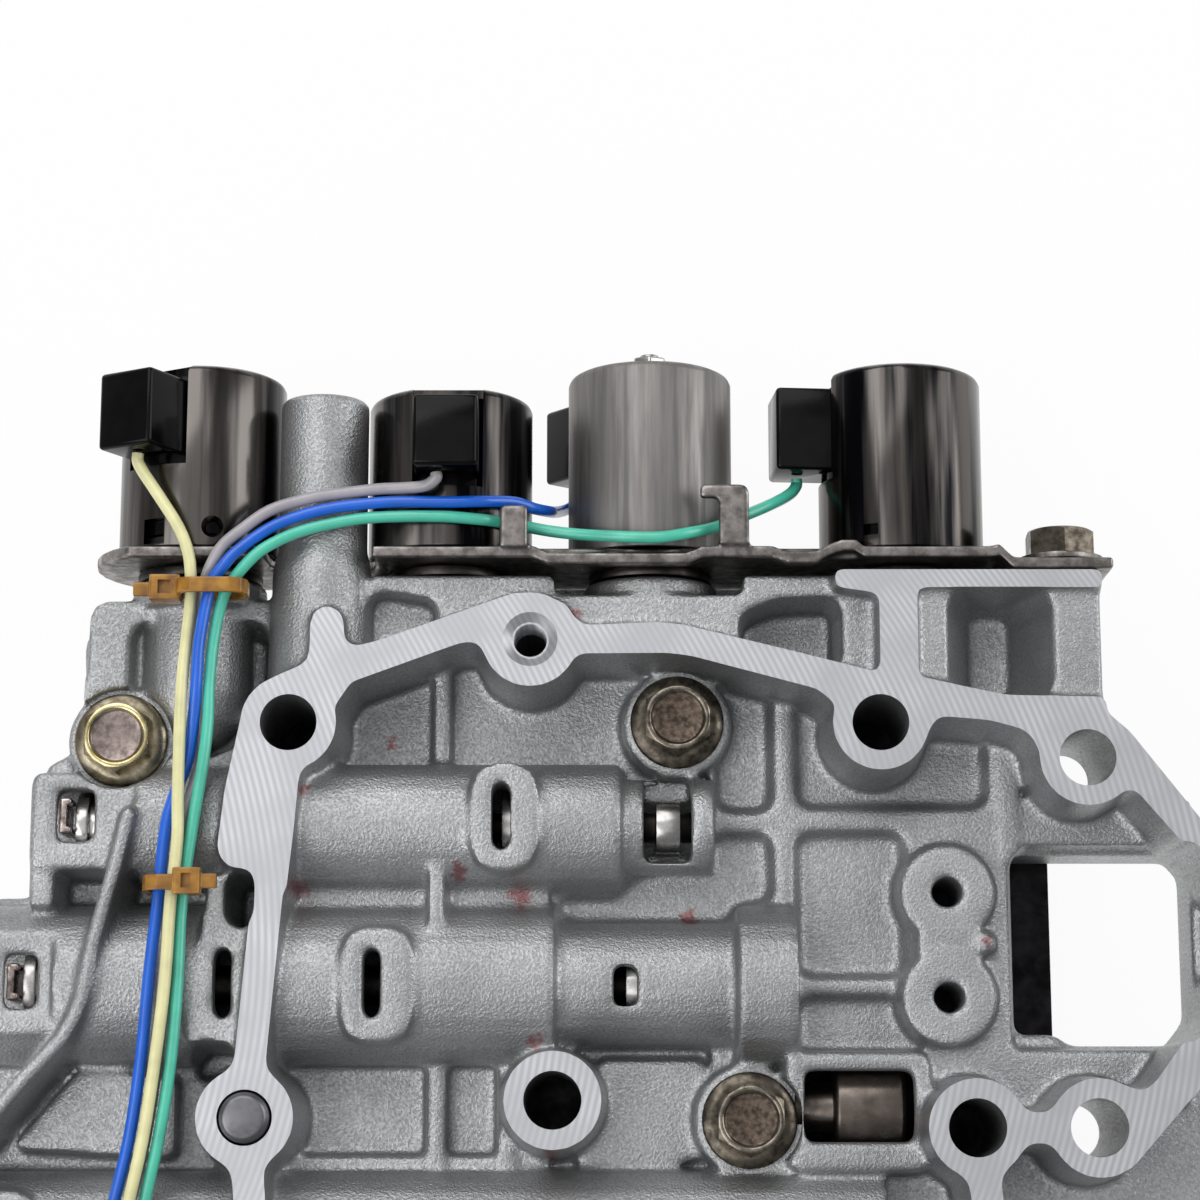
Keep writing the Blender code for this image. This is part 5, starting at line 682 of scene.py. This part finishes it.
# Nut on the third can, of bright turned steel, with the end of its stud
nut_foot = (CAN_AT_X[2], CAN_BASE_Y + CAN_HEIGHT[2] + 0.3, CAN_Z)
nut_shape = cylinder(nut_foot, 2.9, 3.3, UP, 6)
soften(nut_shape, 0.35)
nut = solid(nut_shape, "solenoid_3_nut_pressed")
combine(nut, turned([(0.0, 2.0), (1.6, 2.0), (1.6, 3.9), (0.0, 3.9)], nut_foot, UP, 0.3), "UNION")
finished(nut, [turned_steel], "solenoid_3_nut")


# Retainer plate: pressed from sheet steel, slotted round the solenoid necks, with a rolled wavy lip in
# front and two tabs bent up. A flange bolt and washer clamp its right end to the casting.

# Cold-rolled sheet: grey and half dull, with small stains and a slightly rough skin
stamped_steel = steel_material("stamped_steel", "#5e5a58", "#918c88", 0.34, patch_mm=2.0, mark_mm=0.4,
                               relief_mm=0.06)
retainer = copy_of("retainer_plate", "retainer_plate_pressed")
rounded_skin(retainer, voxel_mm=0.36, passes=5, most_triangles=60000)
finished(retainer, [stamped_steel], "retainer_plate", sharp=60.0)
PLATE_BOLT_X = 73.4
PLATE_BOLT_Z = 33.0
ring = [(3.35, 0.0), (6.9, 0.0), (6.9, 1.0), (3.35, 1.0), (3.35, 0.0)]
washer = solid(turned(ring, (PLATE_BOLT_X, 80.8, PLATE_BOLT_Z), UP, 0.2, 64), "plate_washer_pressed")
finished(washer, [stamped_steel], "plate_washer")
bolt_foot = (PLATE_BOLT_X, 82.1, PLATE_BOLT_Z)
shank = [(0.0, -13.0), (BOLT_RADIUS, -13.0), (BOLT_RADIUS, 0.6), (0.0, 0.6)]
bolt = solid(turned(shank, bolt_foot, UP, 0.2), "plate_bolt_forged")
combine(bolt, hexagon_head(bolt_foot, UP, 0.0, 4.2, 0.4), "UNION")
finished(bolt, [brown_steel], "plate_bolt")


# Leads: four stranded wires in coloured PVC, 1.9 mm across, gathered by two moulded nylon ties and led
# down the left of the castings to a plug.

# Heat-aged nylon: amber, and clear enough to glow at thin edges
amber_nylon = moulded_material("amber_nylon", "#7b5216", "#ab7b2a", 0.26, 0.35)
# Head of a tie: Y of its middle, its low and high X, and the height of its top
HEADS = {"upper": (75.2, -70.3, -65.5, 43.8), "lower": (29.0, -64.9, -60.6, 47.6)}
for tag, (y, low, high, head_top) in HEADS.items():
    tie = copy_of("cable_tie_" + tag, "cable_tie_%s_moulded" % tag)
    rounded_skin(tie, voxel_mm=0.16, passes=3, most_triangles=20000)
    # Window over the ratchet
    window = slab((low + 1.4, y - 1.1, head_top - 1.0), (high - 1.4, y + 1.1, head_top + 1.0))
    combine(tie, window, "DIFFERENCE")
    finished(tie, [amber_nylon], "cable_tie_" + tag, sharp=40.0)

CONNECTOR_AT = (-72.0, -44.0, 32.8)
plug = [(0.0, 0.0), (5.9, 0.0), (5.9, 5.0), (7.5, 5.0), (7.5, 8.0), (6.3, 8.0), (6.3, 10.4), (5.5, 10.4),
        (5.5, 12.0), (6.3, 12.0), (6.3, 20.0), (5.3, 20.0), (5.3, 15.0), (0.0, 15.0)]
connector = solid(turned(plug, CONNECTOR_AT, (0.0, -1.0, 0.0), 0.25, 64), "case_connector_moulded")
# Four sockets in the plug's mating face
SOCKET_OFFSETS = (-1.6, 1.6)
for side in SOCKET_OFFSETS:
    for lift in SOCKET_OFFSETS:
        socket = cylinder((CONNECTOR_AT[0] + side, -63.0, CONNECTOR_AT[2] + lift), 0.8, 8.0, UP, 24)
        combine(connector, socket, "DIFFERENCE")
finished(connector, [black_nylon], "case_connector", sharp=30.0)

# Each lead's route from its terminal block to the plug, in metres
LEAD_ROUTES = {
    "wire_yellow": [
        (-0.0729, 0.0970, 0.0417), (-0.0729, 0.0958, 0.0417), (-0.0721, 0.0942, 0.0419),
        (-0.0705, 0.0918, 0.0422), (-0.0683, 0.0885, 0.0426), (-0.0662, 0.0852, 0.0430),
        (-0.0647, 0.0819, 0.0432), (-0.0640, 0.0787, 0.0430), (-0.0639, 0.0733, 0.0423),
        (-0.0644, 0.0670, 0.0422), (-0.0648, 0.0606, 0.0427), (-0.0649, 0.0543, 0.0432),
        (-0.0649, 0.0418, 0.0431), (-0.0648, 0.0357, 0.0431), (-0.0656, 0.0265, 0.0430),
        (-0.0661, 0.0143, 0.0430), (-0.0673, 0.0023, 0.0427), (-0.0689, -0.0096, 0.0422),
        (-0.0709, -0.0200, 0.0420), (-0.0714, -0.0260, 0.0419), (-0.0716, -0.0340, 0.0396),
        (-0.0704, -0.0422, 0.0344), (-0.0704, -0.0435, 0.0344),
    ],
    "wire_grey": [
        (-0.0257, 0.0933, 0.0440), (-0.0257, 0.0925, 0.0440), (-0.0274, 0.0915, 0.0431),
        (-0.0305, 0.0913, 0.0424), (-0.0346, 0.0912, 0.0420), (-0.0409, 0.0905, 0.0419),
        (-0.0456, 0.0897, 0.0421), (-0.0518, 0.0876, 0.0426), (-0.0564, 0.0842, 0.0430),
        (-0.0589, 0.0820, 0.0431), (-0.0604, 0.0796, 0.0429), (-0.0618, 0.0767, 0.0414),
        (-0.0624, 0.0735, 0.0404), (-0.0629, 0.0670, 0.0401), (-0.0630, 0.0606, 0.0397),
        (-0.0628, 0.0543, 0.0394), (-0.0622, 0.0485, 0.0390), (-0.0629, 0.0445, 0.0399),
        (-0.0645, 0.0390, 0.0405), (-0.0653, 0.0330, 0.0402), (-0.0660, 0.0265, 0.0397),
        (-0.0663, 0.0204, 0.0403), (-0.0666, 0.0143, 0.0406), (-0.0674, 0.0023, 0.0398),
        (-0.0690, -0.0096, 0.0393), (-0.0712, -0.0200, 0.0392), (-0.0720, -0.0270, 0.0395),
        (-0.0728, -0.0340, 0.0362), (-0.0736, -0.0422, 0.0312), (-0.0736, -0.0435, 0.0312),
    ],
    "wire_blue": [
        (-0.0028, 0.0981, 0.0140), (-0.0028, 0.0970, 0.0140), (-0.0046, 0.0944, 0.0164),
        (-0.0062, 0.0928, 0.0200), (-0.0074, 0.0912, 0.0260), (-0.0082, 0.0900, 0.0315),
        (-0.0105, 0.0894, 0.0362), (-0.0136, 0.0899, 0.0384), (-0.0185, 0.0894, 0.0412),
        (-0.0236, 0.0891, 0.0420), (-0.0315, 0.0891, 0.0422), (-0.0362, 0.0888, 0.0423),
        (-0.0424, 0.0880, 0.0424), (-0.0471, 0.0868, 0.0424), (-0.0517, 0.0848, 0.0427),
        (-0.0569, 0.0807, 0.0436), (-0.0589, 0.0783, 0.0437), (-0.0605, 0.0760, 0.0434),
        (-0.0622, 0.0670, 0.0432), (-0.0625, 0.0607, 0.0429), (-0.0630, 0.0544, 0.0419),
        (-0.0638, 0.0482, 0.0410), (-0.0655, 0.0437, 0.0407), (-0.0669, 0.0385, 0.0408),
        (-0.0678, 0.0267, 0.0410), (-0.0689, 0.0145, 0.0410), (-0.0697, 0.0024, 0.0409),
        (-0.0712, -0.0096, 0.0406), (-0.0736, -0.0205, 0.0402), (-0.0747, -0.0265, 0.0397),
        (-0.0749, -0.0340, 0.0376), (-0.0736, -0.0422, 0.0344), (-0.0736, -0.0435, 0.0344),
    ],
    "wire_green": [
        (0.0318, 0.0961, 0.0285), (0.0318, 0.0950, 0.0285), (0.0306, 0.0932, 0.0302),
        (0.0273, 0.0906, 0.0340), (0.0224, 0.0878, 0.0372), (0.0186, 0.0861, 0.0378),
        (0.0142, 0.0845, 0.0406), (0.0094, 0.0835, 0.0418), (0.0031, 0.0837, 0.0413),
        (-0.0034, 0.0848, 0.0380), (-0.0080, 0.0856, 0.0368), (-0.0127, 0.0864, 0.0372),
        (-0.0158, 0.0866, 0.0389), (-0.0189, 0.0866, 0.0407), (-0.0252, 0.0868, 0.0419),
        (-0.0361, 0.0866, 0.0419), (-0.0424, 0.0856, 0.0419), (-0.0471, 0.0843, 0.0422),
        (-0.0512, 0.0822, 0.0431), (-0.0540, 0.0802, 0.0432), (-0.0575, 0.0762, 0.0427),
        (-0.0590, 0.0732, 0.0422), (-0.0602, 0.0670, 0.0418), (-0.0607, 0.0606, 0.0417),
        (-0.0607, 0.0543, 0.0421), (-0.0612, 0.0481, 0.0424), (-0.0626, 0.0390, 0.0416),
        (-0.0641, 0.0265, 0.0412), (-0.0644, 0.0143, 0.0413), (-0.0651, 0.0023, 0.0412),
        (-0.0667, -0.0096, 0.0409), (-0.0688, -0.0200, 0.0403), (-0.0694, -0.0260, 0.0399),
        (-0.0696, -0.0340, 0.0369), (-0.0704, -0.0422, 0.0312), (-0.0704, -0.0435, 0.0312),
    ],
}
# Lead: colour, length in metres and roughness of its skin
LEADS = {
    "wire_yellow": ("#e0dca6", 0.146, 0.36),
    "wire_grey": ("#a19da2", 0.168, 0.36),
    "wire_blue": ("#0a5fd0", 0.206, 0.30),
    "wire_green": ("#4dbfa4", 0.228, 0.30),
}
LEAD_DIAMETER = 0.0019


def smooth_route(points, parts):
    """Points on the smooth curve through a route, each stretch cut into equal parts."""
    points = [Vector(point) for point in points]
    fine = []
    for index in range(len(points) - 1):
        start, end = points[index], points[index + 1]
        before = points[max(index - 1, 0)]
        after = points[min(index + 2, len(points) - 1)]
        span = (end - start).length
        leave = (end - before) / (span + (start - before).length) * span
        arrive = (after - start) / ((after - end).length + span) * span
        for step in range(parts):
            t = step / parts
            fine.append(
                start * (2.0 * t**3 - 3.0 * t**2 + 1.0)
                + leave * (t**3 - 2.0 * t**2 + t)
                + end * (3.0 * t**2 - 2.0 * t**3)
                + arrive * (t**3 - t**2)
            )
    fine.append(points[-1])
    return fine


def lead_material(name, colour, roughness):
    """Extruded PVC insulation: smooth and slightly waxy, with faint handling marks."""
    made, tree = blank_material(name)
    place = node(tree, "TexCoord").outputs["Object"]
    cloud = node(tree, "TexNoise", {"Vector": place, "Scale": 1000.0 / 5.0, "Detail": 3.0})
    marks = node(tree, "TexNoise", {"Vector": place, "Scale": 1000.0 / 0.5, "Detail": 2.0})
    darker = "#" + "".join("%02x" % int(int(colour[i:i + 2], 16) * 0.90) for i in (1, 3, 5))
    tone = node(tree, "ValToRGB", {"Fac": cloud}, [(0.4, colour), (0.75, darker)])
    normal = node(tree, "Bump", {"Height": marks, "Distance": 0.02 * MM, "Strength": 0.4})
    shader = node(tree, "BsdfPrincipled", {"Base Color": tone, "Roughness": roughness, "IOR": 1.53,
                                           "Coat Weight": 0.35, "Coat Roughness": 0.12, "Normal": normal})
    node(tree, "OutputMaterial", {"Surface": shader})
    return made


for name, (colour, length, roughness) in LEADS.items():
    curve = bpy.data.curves.new(name + "_lead", "CURVE")
    curve.dimensions = "3D"
    curve.bevel_depth = LEAD_DIAMETER / 2.0
    curve.bevel_resolution = 4
    curve.use_fill_caps = True
    points = smooth_route(LEAD_ROUTES[name], parts=4)
    spline = curve.splines.new("POLY")
    spline.points.add(len(points) - 1)
    for point, place in zip(spline.points, points):
        point.co = (*place, 1.0)
    spline.use_smooth = True
    curve.materials.append(lead_material("pvc_" + name[5:], colour, roughness))
    lead = bpy.data.objects.new(name + "_lead", curve)
    scene.collection.objects.link(lead)
    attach(lead, "valve_body")
    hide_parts(name)
